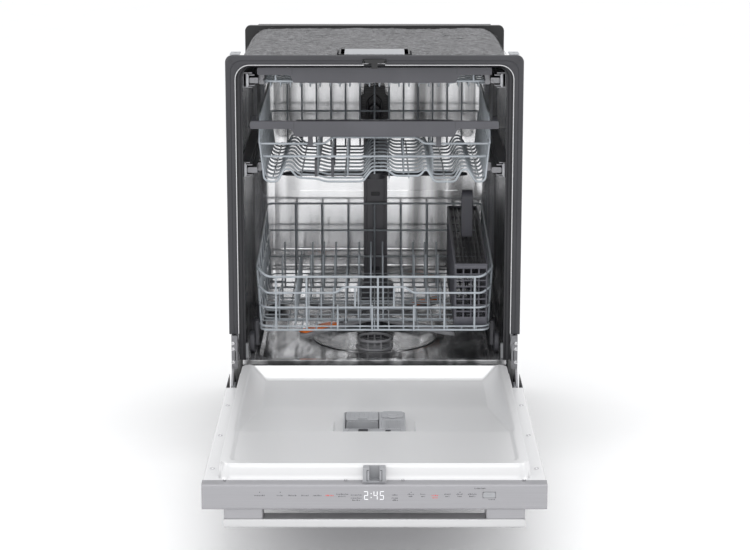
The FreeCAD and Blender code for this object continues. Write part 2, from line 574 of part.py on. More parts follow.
def lower_rack():
    half, y0, y1 = RACK_HALF, RACK_Y0, RACK_Y1
    solids = rack_ring(RACK_FLOOR, RACK_FLOOR, half, y0, y1)
    solids += rack_ring(331, 331, half + 3, y0 - 2, y1 + 2)
    solids += rack_ring(362, 367, half + 5, y0 - 3, y1 + 3)
    rim = [(-half - 8, y0 + 10, 412), (-222, y0 - 4, 396), (222, y0 - 4, 396), (half + 8, y0 + 10, 412),
           (half + 8, y1 + 4, 454), (-half - 8, y1 + 4, 454)]
    solids += bent_wire(rim, WIRE_R + 0.3, bend=10, closed=True)
    for x in spread(-210, 210, 15):
        solids.append(rod((x, y0, RACK_FLOOR), (x, y1, RACK_FLOOR), TINE_R))
    for y in spread(y0 + 42, y1 - 42, 9):
        solids.append(rod((-half, y, RACK_FLOOR - 3.4), (half, y, RACK_FLOOR - 3.4), TINE_R + 0.2))
    for x in (-203, -140, -76, 7, 144, 206):
        solids.append(rod((x, y0, RACK_FLOOR), (x, y0 - 4, 396), WIRE_R))
    for x in spread(-180, 180, 7):
        solids.append(rod((x, y1, RACK_FLOOR), (x, y1 + 4, 454), WIRE_R))
    for y in spread(y0 + 40, y1 - 40, 7):
        rise = 412 + 42 * (y - y0) / (y1 - y0)
        solids += both(rod((half, y, RACK_FLOOR), (half + 8, y, rise - 1), WIRE_R))
    for y, top in zip(CROSS_TINE_Y, CROSS_TINE_TOP):
        for x in CROSS_TINE_X:
            solids.append(rod((x, y, RACK_FLOOR), (x, y, top), TINE_R))
    for x in (-165, 60):
        for y in spread(y0 + 42, y1 - 42, 16):
            solids.append(rod((x, y, RACK_FLOOR), (x, y, 356), TINE_R))
    for y in WHEEL_Y:
        solids += both(rod((half + 6, y, WHEEL_Z), (WHEEL_X0 + 9, y, WHEEL_Z), 3.5),
                       block(half + 6, half + 13, y - 9, y + 9, WHEEL_Z - 8, RACK_FLOOR + 8),
                       block(half - 2, half + 8, y - 9, y + 9, RACK_FLOOR - 6, RACK_FLOOR + 5))
    return solids


def rack_wheels(y):
    wheel = rod((WHEEL_X0, y, WHEEL_Z), (WHEEL_X0 + 10, y, WHEEL_Z), WHEEL_R)
    hub_gap = rod((WHEEL_X0 + 4, y, WHEEL_Z), (WHEEL_X0 + 11, y, WHEEL_Z), WHEEL_R - 5)
    hub = rod((WHEEL_X0, y, WHEEL_Z), (WHEEL_X0 + 10, y, WHEEL_Z), 7.5)
    bore = rod((WHEEL_X0 - 1, y, WHEEL_Z), (WHEEL_X0 + 9.5, y, WHEEL_Z), 3.8)
    return both(wheel.cut(hub_gap).fuse(hub).cut(bore))


def fold_tines():
    y0, y1 = RACK_Y0 + 42, RACK_Y1 - 42
    z = RACK_FLOOR + 7
    bar = rod((FOLD_X, y0 - 8, z), (FOLD_X, y1 + 8, z), 2.2)
    tines = [rod((FOLD_X, y, z), (FOLD_X, y, 358), TINE_R) for y in spread(y0, y1, 16)]
    return [bar] + tines


def cutlery_basket():
    x0, x1, y0, y1, z0 = BASKET_X0, BASKET_X1, BASKET_Y0, BASKET_Y1, BASKET_Z0
    wall = 2.0

    def wedge(g):
        return plate("yz", [(y0 + g, z0 + g, 5 - g), (y1 - g, z0 + g, 5 - g), (y1 - g, 454 - g, 5 - g),
                            (y0 + g, 422 - g, 5 - g)], x0 + g, x1 - g)
    shell = wedge(0).cut(wedge(wall))
    slots = [plate("yz", [(y, 395, 0), (y + 26, 397, 0), (y + 26, 470, 0), (y, 470, 0)], x, x + 12)
             for x in (172, 193, 214) for y in spread(34, 456, 12) if abs(y + 13 - 250) > 32]
    windows = []
    for z in (300, 328, 356):
        windows += [block(x, x + 12, y0 - 5, y1 + 5, z, z + 20) for x in (172, 193, 214)]
        windows += [block(x0 - 5, x1 + 5, y, y + 24, z, z + 20) for y in spread(34, 462, 13)]
    shell = shell.cut(windows + slots)
    strap = plate("yz", [(231, 433, 0), (231, 534, 18), (269, 534, 18), (269, 433, 0)], 187, 211)
    strap = strap.cut(plate("yz", [(237, 442, 3), (237, 528, 12), (263, 528, 12), (263, 442, 3)], 180, 220))
    return [shell.fuse(strap)]


# ---- upper and third rack -----------------------------------------------------------------------
def upper_rack():
    half, y0, y1, floor = UPPER_HALF, UPPER_Y0, UPPER_Y1, UPPER_Z
    solids = rack_ring(floor + 4, floor + 4, half, y0, y1)
    solids += rack_ring(644.5, 644.5, half + 3, y0 - 2, y1 + 2)
    solids += rack_ring(671, 671, half + 4, y0 - 3, y1 + 3)
    side = [(half + 4, y0, 671), (half + 4, y0 + 30, 722), (half + 4, y1, 742)]
    solids += bent_wire(side + [(-x, y, z) for x, y, z in reversed(side)], WIRE_R, bend=8)
    for x in spread(-210, 210, 15):
        solids.append(rod((x, y0, floor + 4), (x, y1, floor + 4), TINE_R))
    for y in spread(y0 + 40, y1 - 40, 8):
        solids.append(rod((-half, y, floor + 7), (half, y, floor + 7), TINE_R + 0.2))
    for x, peak in ((-180, 24), (0, 30), (104, 12), (190, 24)):
        for y in spread(y0 + 40, y1 - 40, 8):
            solids += [rod((x - 12, y, floor + 7), (x, y, floor + 7 + peak), TINE_R + 0.2),
                       rod((x + 12, y, floor + 7), (x, y, floor + 7 + peak), TINE_R + 0.2)]
    for x in (-117, -55):
        for y in spread(y0 + 40, y1 - 40, 14):
            solids.append(rod((x, y, floor + 4), (x, y, floor + 66), TINE_R))
    for x in spread(-195, 195, 9):
        solids.append(rod((x, y1, floor + 4), (x, y1, 742), WIRE_R))
    for x in spread(-216, 216, 7):
        solids.append(rod((x, y0, floor + 4), (x, y0 - 3, 671), WIRE_R))
    for y in spread(y0 + 50, y1 - 50, 6):
        solids += both(rod((half, y, floor + 4), (half + 4, y, 724 + 11 * (y - y0) / (y1 - y0)), WIRE_R))
    runner = block(238, 259, 18, 18 + RAIL_LEN - 8, 611, 623)
    hangers = [block(half, 240, y - 10, y + 10, 608, 626) for y in (70, 250, 430)]
    return solids + both(runner.fuse(hangers))


def upper_rack_handle():
    right = [(160, 719, 0), (251.5, 719, 4), (251.5, 703, 3), (168, 703, 8), (161, 687, 5)]
    front = plate("xz", right + [(-x, z, r) for x, z, r in reversed(right)], 6, 16)
    grip = plate("yz", [(6, 715, 0), (34, 715, 2), (34, 719, 1.5), (6, 719, 0)], -158, 158)
    stays = both(plate("yz", [(14, 705, 0), (60, 712, 2), (60, 722, 2), (14, 718, 0)], 240, 250))
    hooks = [block(x - 5, x + 5, 16, 28, 664, 704) for x in (-130, 130)]
    handle = front.fuse([grip] + stays + hooks)
    return [handle.cut(rod((-140, UPPER_Y0 - 3, 671), (140, UPPER_Y0 - 3, 671), WIRE_R + 0.2))]


def upper_feed_tube():
    run = rod((0, 262, 585), (0, 500, 585), 9)
    rise = rod((0, 492, 580), (0, 492, 676), 9)
    nose = rod((0, 485, 672), (0, 511, 672), 11)
    hub = rod((0, 262, 560), (0, 262, 594), 12)
    return [run.fuse([rise, nose, hub])]


def upper_spray_arm():
    arm = spray_arm(262, 563, 200, (0, 180), thick=8.0, width=36.0, hub_r=24.0, hub_drop=5.0)
    return [arm.cut(rod((0, 262, 550), (0, 262, 600), 12.5))]


def channel(x0, x1, y0, y1, z0, z1, wall):
    """C section, open towards the middle of the tub."""
    return block(x0, x1, y0, y1, z0, z1).cut(
        block(x0 - 1, x1 - wall, y0 - 1, y1 + 1, z0 + wall, z1 - wall))


def fixed_rails():
    rails = []
    for z, outer in ((UPPER_RAIL_Z, UPPER_RAIL_X), (THIRD_RAIL_Z, THIRD_RAIL_X)):
        rail = channel(outer - 19, outer, 20, 20 + RAIL_LEN, z, z + 31, 2.2)
        if outer < TUB_HALF - 1:
            spacers = [block(outer, TUB_HALF - 0.3, y, y + 20, z, z + 9) for y in (60, 240, 420)]
            rail = rail.fuse(spacers)
        rails += both(rail)
    return rails


def slides(z, outer):
    """Middle members of the telescopic rails, one each side."""
    return both(channel(outer - 24, outer - 8, 18, 18 + RAIL_LEN, z + 4, z + 27, 2.2))


def third_rack():
    half, y0, y1, floor = THIRD_HALF, THIRD_Y0, THIRD_Y1, THIRD_Z
    solids = []
    for x, z in ((half, floor), (half + 4, 812)):
        solids += bent_wire([(-x, y0, z), (x, y0, z), (x, y1, z), (-x, y1, z)], WIRE_R, closed=True)
    for x in spread(-210, 210, 15):
        solids.append(rod((x, y0, floor), (x, y1, floor), TINE_R))
    for y in spread(y0 + 30, y1 - 30, 14):
        solids.append(rod((-half, y, floor + 3), (half, y, floor + 3), TINE_R))
    for x in spread(-200, 200, 6):
        solids += [rod((x, y0, floor), (x, y0, 812), WIRE_R), rod((x, y1, floor), (x, y1, 812), WIRE_R)]
    for y in spread(y0 + 50, y1 - 50, 5):
        solids += both(rod((half, y, floor), (half + 4, y, 812), WIRE_R))
    runner = block(234, THIRD_RAIL_X - 13, 18, 18 + RAIL_LEN - 8, 794, 806)
    hangers = [block(half, 236, y - 8, y + 8, 786, 808) for y in (70, 250, 430)]
    bar = plate("xz", [(-236.5, 811, 3), (-236.5, 826, 3), (236.5, 826, 3), (236.5, 811, 3), (170, 811, 6),
                       (164, 795, 5), (-164, 795, 5), (-170, 811, 6)], 18, 27)
    grip = plate("yz", [(24, 822, 0), (44, 822, 2), (44, 826, 2), (24, 826, 0)], -160, 160)
    return solids + both(runner.fuse(hangers)) + [bar.fuse(grip)]


# ---- all parts ----------------------------------------------------------------------------------
PARTS = {
    "tub_shell": tub_shell, "tub_back": tub_back, "tub_floor": tub_floor,
    "insulation_blanket": insulation_blanket, "trim_frame": trim_frame, "door_gasket": door_gasket,
    "corner_baffles": corner_baffles, "strike_bracket": strike_bracket, "latch_strike": latch_strike,
    "counter_brackets": counter_brackets, "rear_frame": rear_frame, "feed_duct": feed_duct,
    "upper_dock": upper_dock, "sump_body": sump_body, "sump_dish": sump_dish, "spray_hub": spray_hub,
    "circulation_pump": circulation_pump, "drain_pump": drain_pump, "inlet_valve": inlet_valve,
    "junction_box": junction_box, "hinge_brackets": hinge_brackets, "door_springs": door_springs,
    "fixed_rails": fixed_rails, "base_pan": base_pan, "toe_kick": toe_kick,
    "pump_impeller": lambda: impeller(PUMP_X + 8, PUMP_Y, PUMP_Z, 38, 26),
    "drain_impeller": lambda: impeller(DRAIN_X + 6, DRAIN_Y, DRAIN_Z, 20, 18),
    "lower_spray_arm": lower_spray_arm, "filter_cup": filter_cup,
    "leg_front_left": lambda: [leg(-LEG_X, LEG_FRONT_Y)],
    "leg_front_right": lambda: [leg(LEG_X, LEG_FRONT_Y)],
    "rear_legs": lambda: [leg(-LEG_X, LEG_REAR_Y), leg(LEG_X, LEG_REAR_Y)],
    "door_panel": door_panel, "door_liner": door_liner, "door_insulation": door_insulation,
    "control_panel": control_panel, "door_handle": door_handle, "hinge_arms": hinge_arms,
    "latch_housing": latch_housing, "latch_bolt": latch_bolt, "dispenser_body": dispenser_body,
    "detergent_lid": detergent_lid, "rinse_cap": rinse_cap, "control_board": control_board,
    "door_screws": door_screws, "start_button": start_button,
    "lower_rack": lower_rack, "fold_tines": fold_tines, "cutlery_basket": cutlery_basket,
    "upper_rack": upper_rack, "upper_rack_handle": upper_rack_handle, "upper_feed_tube": upper_feed_tube,
    "upper_spray_arm": upper_spray_arm, "upper_slides": lambda: slides(UPPER_RAIL_Z, UPPER_RAIL_X),
    "third_rack": third_rack, "third_slides": lambda: slides(THIRD_RAIL_Z, THIRD_RAIL_X),
}
for number, axle_y in enumerate(WHEEL_Y, 1):
    PARTS[f"rack_wheels_{number}"] = lambda y=axle_y: rack_wheels(y)

os.makedirs("parts", exist_ok=True)
for name, make in PARTS.items():
    solids = [s for shape in make() for s in shape.Solids]
    compound = Part.makeCompound(solids)
    compound.translate(V(0, SHIFT_Y, 0))
    compound.exportStep(f"parts/{name}.step")
    bad = sum(not s.isValid() for s in solids)
    box = compound.BoundBox
    volume = sum(s.Volume for s in solids) / 1000
    print(f"{name:20s} {len(solids):3d} solids, {bad} bad, {volume:9.1f} cm3, "
          f"X {box.XMin:.1f}..{box.XMax:.1f} Y {box.YMin:.1f}..{box.YMax:.1f} "
          f"Z {box.ZMin:.1f}..{box.ZMax:.1f}")
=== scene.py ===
"""Looks of a built-in dishwasher with its door open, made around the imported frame."""
import bmesh
import bpy
import json
import math
import random
from mathutils import Matrix, Vector, noise


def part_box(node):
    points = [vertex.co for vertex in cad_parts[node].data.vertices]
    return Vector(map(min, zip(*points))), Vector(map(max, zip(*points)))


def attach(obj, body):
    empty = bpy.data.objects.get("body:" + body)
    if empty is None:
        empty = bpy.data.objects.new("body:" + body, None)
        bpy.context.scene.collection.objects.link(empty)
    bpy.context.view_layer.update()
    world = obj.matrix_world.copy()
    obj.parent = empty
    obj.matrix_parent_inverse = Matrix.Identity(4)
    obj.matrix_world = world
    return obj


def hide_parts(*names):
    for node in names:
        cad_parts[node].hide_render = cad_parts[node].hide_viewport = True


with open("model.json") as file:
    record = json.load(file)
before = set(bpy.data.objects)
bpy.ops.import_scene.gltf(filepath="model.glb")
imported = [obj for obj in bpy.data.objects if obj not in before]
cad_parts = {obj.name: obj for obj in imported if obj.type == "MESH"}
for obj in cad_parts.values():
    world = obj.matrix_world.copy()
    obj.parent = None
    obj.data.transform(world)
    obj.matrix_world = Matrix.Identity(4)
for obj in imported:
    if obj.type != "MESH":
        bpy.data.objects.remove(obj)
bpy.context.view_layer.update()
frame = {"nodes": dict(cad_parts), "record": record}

MM = 0.001
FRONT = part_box("trim_frame")[1][1]          # front plane of the tub

# Sizes in millimetres: X from the middle, Y from the tub's front plane, Z from the floor.
TUB_HALF, TUB_TOP, TUB_BACK = 272.5, 835.0, 545.0
SILL = 221.0
TRIM_HALF, TRIM_TOP, TRIM_WIDTH, TRIM_END = 299.0, 853.5, 19.0, 279.0
FLANGE, PLATEAU, DOOR_TIP = 189.0, 217.0, -711.2
ARM_Y, FILTER_Y = 286.0, 186.0


def at(x, y, z):
    return Vector((x * MM, FRONT + y * MM, z * MM))


def spread(first, last, count):
    return [first + (last - first) * i / (count - 1) for i in range(count)]


def smooth(t):
    t = min(max(t, 0.0), 1.0)
    return t * t * (3 - 2 * t)


# ---- materials ------------------------------------------------------------------------------
class Shade:
    """A node material whose patterns follow object coordinates, in metres."""

    def __init__(self, name, color, metallic=0.0, roughness=0.5, **sockets):
        self.mat = bpy.data.materials.new(name)
        self.mat.use_nodes = True
        self.tree = self.mat.node_tree
        self.bsdf = self.tree.nodes["Principled BSDF"]
        self.color, self.rough = color, roughness
        self.set("Base Color", (*color, 1))
        self.set("Metallic", metallic)
        self.set("Roughness", roughness)
        for key, value in sockets.items():
            self.set(key.replace("_", " "), value)

    def set(self, socket, value):
        self.bsdf.inputs[socket].default_value = value

    def node(self, kind, inputs=(), **values):
        n = self.tree.nodes.new(kind)
        for key, value in values.items():
            setattr(n, key, value)
        for key, value in dict(inputs).items():
            n.inputs[key].default_value = value
        return n

    def link(self, a, b):
        self.tree.links.new(a, b)

    def pattern(self, scale, detail=4.0, rough=0.55, warp=0.0):
        """Noise of a given scale per axis; returns its value socket."""
        coord = self.node("ShaderNodeTexCoord")
        spot = self.node("ShaderNodeMapping", {"Scale": scale if isinstance(scale, tuple) else (scale,) * 3})
        self.link(coord.outputs["Object"], spot.inputs["Vector"])
        tex = self.node("ShaderNodeTexNoise",
                        {"Scale": 1.0, "Detail": detail, "Roughness": rough, "Distortion": warp})
        self.link(spot.outputs["Vector"], tex.inputs["Vector"])
        return tex.outputs["Fac"]

    def tint(self, value, dark, light, low=0.3, high=0.7):
        """Colour the surface from dark to light by a pattern."""
        ramp = self.node("ShaderNodeValToRGB")
        ends = ramp.color_ramp.elements
        ends[0].position, ends[1].position = low, high
        ends[0].color = (*[min(1, c * dark) for c in self.color], 1)
        ends[1].color = (*[min(1, c * light) for c in self.color], 1)
        self.link(value, ramp.inputs["Fac"])
        self.link(ramp.outputs["Color"], self.bsdf.inputs["Base Color"])

    def gloss(self, value, low, high):
        span = self.node("ShaderNodeMapRange",
                         {"From Min": 0.3, "From Max": 0.7, "To Min": low, "To Max": high})
        self.link(value, span.inputs["Value"])
        self.link(span.outputs["Result"], self.bsdf.inputs["Roughness"])

    def bump(self, *layers):
        """Stack bumps, each (value, depth in millimetres)."""
        last = None
        for value, depth in layers:
            n = self.node("ShaderNodeBump", {"Strength": 1.0, "Distance": depth * MM})
            self.link(value, n.inputs["Height"])
            if last is not None:
                self.link(last.outputs["Normal"], n.inputs["Normal"])
            last = n
        self.link(last.outputs["Normal"], self.bsdf.inputs["Normal"])
        return self.mat


def steel(name, color, rough, grain, wave=0.0, contrast=0.06, metallic=1.0, depth=0.004, spread_=0.22):
    """Stainless sheet: fine drawn grain, and slow waves that bend the reflections."""
    s = Shade(name, color, metallic, rough)
    fine = s.pattern(grain, 3.0)
    cloud = s.pattern(7.0, 2.0)
    s.tint(fine, 1 - contrast, 1 + contrast)
    s.gloss(fine, rough * (1 - spread_), rough * (1 + spread_))
    layers = [(fine, depth)]
    if wave:
        layers.append((cloud, wave))
    return s.bump(*layers)


def painted_reflection_sheet(name, color, metallic, scale, warp, dark, light, low, high, wave, rough=(0.1, 0.24),
            detail=6.0):
    """Polished tub sheet: slight waves bend its reflections, and light and dark streaks of painted reflection
    are tinted into its colour.
    """
    s = Shade(name, color, metallic, rough[0])
    painted_reflection_streaks = s.pattern(scale, detail, 0.62, warp)
    fine = s.pattern(tuple(4.5 * k for k in scale), 3.0, 0.6, 0.8)
    # painted reflections: the streak pattern tints the base colour from dark to light, standing in for lamps
    # and wires reflected in the sheet
    s.tint(painted_reflection_streaks, dark, light, low, high)
    s.gloss(fine, *rough)
    return s.bump((painted_reflection_streaks, wave), (fine, wave * 0.1))


def plastic(name, color, rough=0.45, grain=900.0, depth=0.02, spread_=0.10):
    s = Shade(name, color, 0.0, rough)
    fine, cloud = s.pattern(grain, 2.0), s.pattern(11.0, 5.0)
    s.tint(cloud, 1 - spread_, 1 + spread_)
    s.gloss(fine, rough * 0.85, rough * 1.15)
    return s.bump((fine, depth))


def wire_coat(name, color):
    s = Shade(name, color, 0.0, 0.3, Coat_Weight=0.4, Coat_Roughness=0.2)
    cloud, orange_peel = s.pattern(30.0, 5.0), s.pattern(420.0, 2.0)
    s.tint(cloud, 0.86, 1.12)
    s.gloss(orange_peel, 0.24, 0.38)
    return s.bump((orange_peel, 0.05))


def felt_cloth():
    s = Shade("felt_fibre", (0.085, 0.085, 0.088), 0.0, 0.95, Sheen_Weight=0.06, Sheen_Roughness=0.6)
    fibres = s.pattern((170.0, 400.0, 400.0), 7.0, 0.76, 2.6)
    tufts = s.pattern((48.0, 120.0, 120.0), 6.0, 0.74, 2.0)
    both = s.node("ShaderNodeMath", {1: 0.62}, operation="MULTIPLY_ADD")
    scaled = s.node("ShaderNodeMath", {1: 0.38}, operation="MULTIPLY")
    s.link(tufts, scaled.inputs[0])
    s.link(fibres, both.inputs[0])
    s.link(scaled.outputs[0], both.inputs[2])
    s.tint(both.outputs[0], 0.06, 4.6, 0.44, 0.61)
    return s.bump((both.outputs[0], 1.6))


# colour, roughness, grain per axis, then wave, contrast, metallic, bump depth and spread of the gloss
STEELS = {
    "tub_steel": ((0.60, 0.60, 0.61), 0.17, (3.0, 3.0, 600.0), 1.3, 0.05),
    "door_steel": ((0.73, 0.73, 0.735), 0.33, (5.0, 700.0, 700.0), 0.0, 0.008, 0.38, 0.0006, 0.05),
    "panel_steel": ((0.355, 0.352, 0.368), 0.38, (5.0, 1500.0, 1500.0), 0.0, 0.06, 0.75),
    "handle_steel": ((0.58, 0.58, 0.585), 0.38, (5.0, 1500.0, 1500.0), 0.0, 0.04, 0.75),
    # rail_steel is darker than zinc_steel: partly the rails' own dark steel, partly painted shade for the
    # shadow the rails sit in
    "rail_steel": ((0.22, 0.22, 0.23), 0.35, 200.0, 0.0, 0.15),
    "zinc_steel": ((0.42, 0.43, 0.45), 0.38, 260.0, 0.0, 0.2),
    "screw_steel": ((0.60, 0.60, 0.61), 0.25, 300.0),
}
# colour, metallic, painted reflection streaks per axis, warp, dark and light tint of the painted reflections
# with their ends, wave, gloss, detail
SHEETS = {
    # painted reflections: wall_steel's sparse bright streaks on a dark sheet stand in for lamps reflected in
    # the side walls
    "wall_steel": ((0.30, 0.30, 0.31), 0.75, (40.0, 40.0, 4.0), 2.2, 0.14, 2.5, 0.50, 0.66, 3.0),
    # painted reflections: back_steel's dark upright streaks stand in for rack wires reflected in the back
    # wall
    "back_steel": ((0.86, 0.86, 0.87), 0.8, (11.0, 11.0, 0.9), 0.5, 0.35, 1.12, 0.38, 0.52, 1.2,
                   (0.12, 0.22), 2.0),
    # painted reflections: floor_steel's light and dark streaks stand in for reflections in the polished floor
    "floor_steel": ((0.54, 0.54, 0.545), 0.9, (12.0, 4.0, 12.0), 1.2, 0.45, 1.25, 0.40, 0.58, 0.9,
                    (0.10, 0.20), 2.0),
}
# colour, roughness, then grain and bump depth
PLASTICS = {
    "dark_plastic": ((0.030, 0.030, 0.035), 0.42),
    "mid_plastic": ((0.070, 0.070, 0.080), 0.42),
    "arm_plastic": ((0.28, 0.28, 0.295), 0.42),
    "duct_plastic": ((0.135, 0.132, 0.145), 0.40),
    "basket_plastic": ((0.075, 0.075, 0.090), 0.42),
    "light_plastic": ((0.33, 0.335, 0.35), 0.42),
    "black_plastic": ((0.012, 0.012, 0.013), 0.4),
    "seal_rubber": ((0.022, 0.022, 0.025), 0.62, 500.0, 0.05),
    "orange_plastic": ((0.85, 0.17, 0.006), 0.35),
    "bitumen": ((0.02, 0.02, 0.02), 0.8, 200.0, 0.3),
    "copper_green": ((0.02, 0.12, 0.05), 0.5),
    "ink_grey": ((0.06, 0.06, 0.065), 0.6),
    "ink_white": ((0.95, 0.96, 1.0), 0.5),
    "ink_red": ((0.75, 0.03, 0.02), 0.6),
}
MATS = {"coated_wire": wire_coat("coated_wire", (0.33, 0.36, 0.39)), "felt": felt_cloth()}
for coat, table in ((steel, STEELS), (painted_reflection_sheet, SHEETS), (plastic, PLASTICS)):
    MATS.update({name: coat(name, *look) for name, look in table.items()})
SLOTS = {m["slot"] for m in frame["record"]["materials"]}


# ---- mesh helpers ---------------------------------------------------------------------------
def round_edges(obj, width, harden=True):
    m = obj.modifiers.new("round", "BEVEL")
    m.width, m.segments, m.limit_method = width * MM, 2, "ANGLE"
    m.angle_limit, m.harden_normals = math.radians(40), harden


def piece(name, verts, faces, mat, body, slot=None, nodes=(), round_=0.0, thick=0.0, sharp=35.0):
    """A named mesh piece with its finish, riding on a body; round_ and thick are in millimetres."""
    mesh = bpy.data.meshes.new(name)
    mesh.from_pydata([tuple(v) for v in verts], [], faces)
    mesh.validate()
    mesh.materials.append(MATS[mat])
    obj = bpy.data.objects.new(name, mesh)
    bpy.context.scene.collection.objects.link(obj)
    mesh.polygons.foreach_set("use_smooth", [True] * len(mesh.polygons))
    if thick:
        m = obj.modifiers.new("sheet", "SOLIDIFY")
        m.thickness, m.offset, m.use_even_offset = abs(thick) * MM, math.copysign(1.0, thick), False
    if round_:
        round_edges(obj, round_)
    else:
        mesh.set_sharp_from_angle(angle=math.radians(sharp))
    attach(obj, body)
    slot or (mat if mat in SLOTS else "mid_plastic")
    if nodes:
        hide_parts(*nodes)
    return obj


def outline(corners, steps=6):
    """Points of a polygon of (u, v, corner radius)."""
    points = []
    for i, (u, v, radius) in enumerate(corners):
        here = Vector((u, v))
        back = (Vector(corners[i - 1][:2]) - here).normalized()
        ahead = (Vector(corners[(i + 1) % len(corners)][:2]) - here).normalized()
        if radius <= 0:
            points.append(here)
            continue
        half = back.angle(ahead) / 2
        centre = here + (back + ahead).normalized() * (radius / math.sin(half))
        start = here + back * (radius / math.tan(half)) - centre
        end = here + ahead * (radius / math.tan(half)) - centre
        first = math.atan2(start.y, start.x)
        turn = (math.atan2(end.y, end.x) - first + math.pi) % (2 * math.pi) - math.pi
        for k in range(steps + 1):
            a = first + turn * k / steps
            points.append(centre + Vector((math.cos(a), math.sin(a))) * radius)
    return points


PLANES = {"xz": lambda u, v, w: at(u, w, v), "xy": at, "yz": lambda u, v, w: at(w, u, v)}


def prism(plane, corners, start, end, steps=6):
    """Vertices and faces of an outline extruded between two levels."""
    ring = outline(corners, steps)
    n = len(ring)
    verts = [PLANES[plane](p.x, p.y, w) for w in (start, end) for p in ring]
    faces = [tuple(range(n))[::-1], tuple(range(n, 2 * n))]
    faces += [(i, (i + 1) % n, n + (i + 1) % n, n + i) for i in range(n)]
    area = sum(ring[i - 1].x * ring[i].y - ring[i].x * ring[i - 1].y for i in range(n))
    flip = (area < 0) != (plane == "xz") != (end < start)
    return verts, [f[::-1] for f in faces] if flip else faces


def rect(u0, u1, v0, v1, radius=0.0):
    return [(u0, v0, radius), (u1, v0, radius), (u1, v1, radius), (u0, v1, radius)]


def join(*shapes):
    verts, faces = [], []
    for v, f in shapes:
        faces += [tuple(i + len(verts) for i in face) for face in f]
        verts += v
    return verts, faces


def flipped(shape):
    """The mirror image of a shape across X = 0."""
    verts, faces = shape
    return [Vector((-v.x, v.y, v.z)) for v in verts], [f[::-1] for f in faces]


def turned(shape, angle, centre, axis="Z"):
    """A shape turned about an axis through a point."""
    spin = Matrix.Rotation(angle, 3, axis)
    return [spin @ (v - centre) + centre for v in shape[0]], shape[1]


def pair(shape):
    return join(shape, flipped(shape))


def block(x0, x1, y0, y1, z0, z1):
    return prism("xy", rect(x0, x1, y0, y1), z0, z1)


def rounded_path(points, bend, closed=False, steps=5):
    """The points of a line whose corners are round."""
    pts = [Vector(p) for p in points]
    n, out = len(pts), []
    for i, here in enumerate(pts):
        if not closed and i in (0, n - 1):
            out.append(here)
            continue
        back, ahead = pts[i - 1] - here, pts[(i + 1) % n] - here
        reach = min(bend * MM, back.length * 0.45, ahead.length * 0.45)
        a, b = here + back.normalized() * reach, here + ahead.normalized() * reach
        for k in range(steps + 1):
            t = k / steps
            out.append(a * (1 - t) ** 2 + here * 2 * t * (1 - t) + b * t ** 2)
    return out


def loft_faces(rings, sides, closed=False):
    """Quads between successive rings of points; the ends of an open row are capped."""
    faces = []
    for i in range(rings if closed else rings - 1):
        a, b = i * sides, (i + 1) % rings * sides
        faces += [(a + k, a + (k + 1) % sides, b + (k + 1) % sides, b + k) for k in range(sides)]
    if not closed:
        faces += [tuple(range(sides))[::-1], tuple(range((rings - 1) * sides, rings * sides))]
    return faces


def tube(points, radius, bend=8.0, closed=False, sides=8):
    """A round wire along a line; open ends are domed."""
    path = rounded_path(points, bend, closed)
    r = radius * MM
    n, verts, tangents = len(path), [], []
    for i in range(n):
        a = path[i - 1] if (closed or i > 0) else path[i]
        b = path[(i + 1) % n] if (closed or i < n - 1) else path[i]
        tangents.append((b - a).normalized())
    up = Vector((0, 0, 1)) if abs(tangents[0].z) < 0.9 else Vector((0, 1, 0))
    side = tangents[0].cross(up).normalized()
    rings = [(centre, tangent, 1.0) for centre, tangent in zip(path, tangents)]
    if not closed:
        rings.insert(0, (path[0] - tangents[0] * r * 0.5, tangents[0], 0.55))
        rings.append((path[-1] + tangents[-1] * r * 0.5, tangents[-1], 0.55))
    for centre, tangent, scale in rings:
        side = (side - tangent * side.dot(tangent)).normalized()
        over = tangent.cross(side)
        for k in range(sides):
            a = 2 * math.pi * k / sides
            verts.append(centre + (side * math.cos(a) + over * math.sin(a)) * r * scale)
    return verts, loft_faces(len(rings), sides, closed)


def lathe(profile, centre, axis="z", steps=32, closed=False):
    """Turn (radius, height) points about an axis through a point; a closed profile stays off the axis."""
    verts = []
    for radius, height in profile:
        for k in range(steps):
            a = 2 * math.pi * k / steps
            u, v = radius * math.cos(a) * MM, radius * math.sin(a) * MM
            h = height * MM
            offset = {"z": Vector((u, v, h)), "x": Vector((h, u, v)), "y": Vector((v, h, u))}[axis]
            verts.append(centre + offset)
    return verts, loft_faces(len(profile), steps, closed)


def ring_lathe(profile, centre, axis="z", steps=48):
    return lathe(profile, centre, axis, steps, closed=True)


def arch_line(half, top, foot, radius, inset=0.0, steps=10):
    """The upside-down U of the tub, from the left foot over the top to the right foot, as (x, z, nx, nz)."""
    line = []
    r = max(radius - inset, 1.0)
    h, t = half - inset, top - inset
    line += [(-h, foot + (t - r - foot) * k / 12, -1.0, 0.0) for k in range(12)]
    for k in range(steps + 1):
        a = math.pi - math.pi / 2 * k / steps
        line.append((-h + r + r * math.cos(a), t - r + r * math.sin(a), math.cos(a), math.sin(a)))
    line += [(-h + r + 2 * (h - r) * k / 16, t, 0.0, 1.0) for k in range(1, 16)]
    for k in range(steps + 1):
        a = math.pi / 2 - math.pi / 2 * k / steps
        line.append((h - r + r * math.cos(a), t - r + r * math.sin(a), math.cos(a), math.sin(a)))
    line += [(h, foot + (t - r - foot) * k / 12, 1.0, 0.0) for k in range(11, -1, -1)]
    return line


def used_only(verts, faces):
    """The same faces without the points that none of them uses."""
    used = sorted({i for f in faces for i in f})
    new = {old: k for k, old in enumerate(used)}
    return [verts[i] for i in used], [tuple(new[i] for i in f) for f in faces]


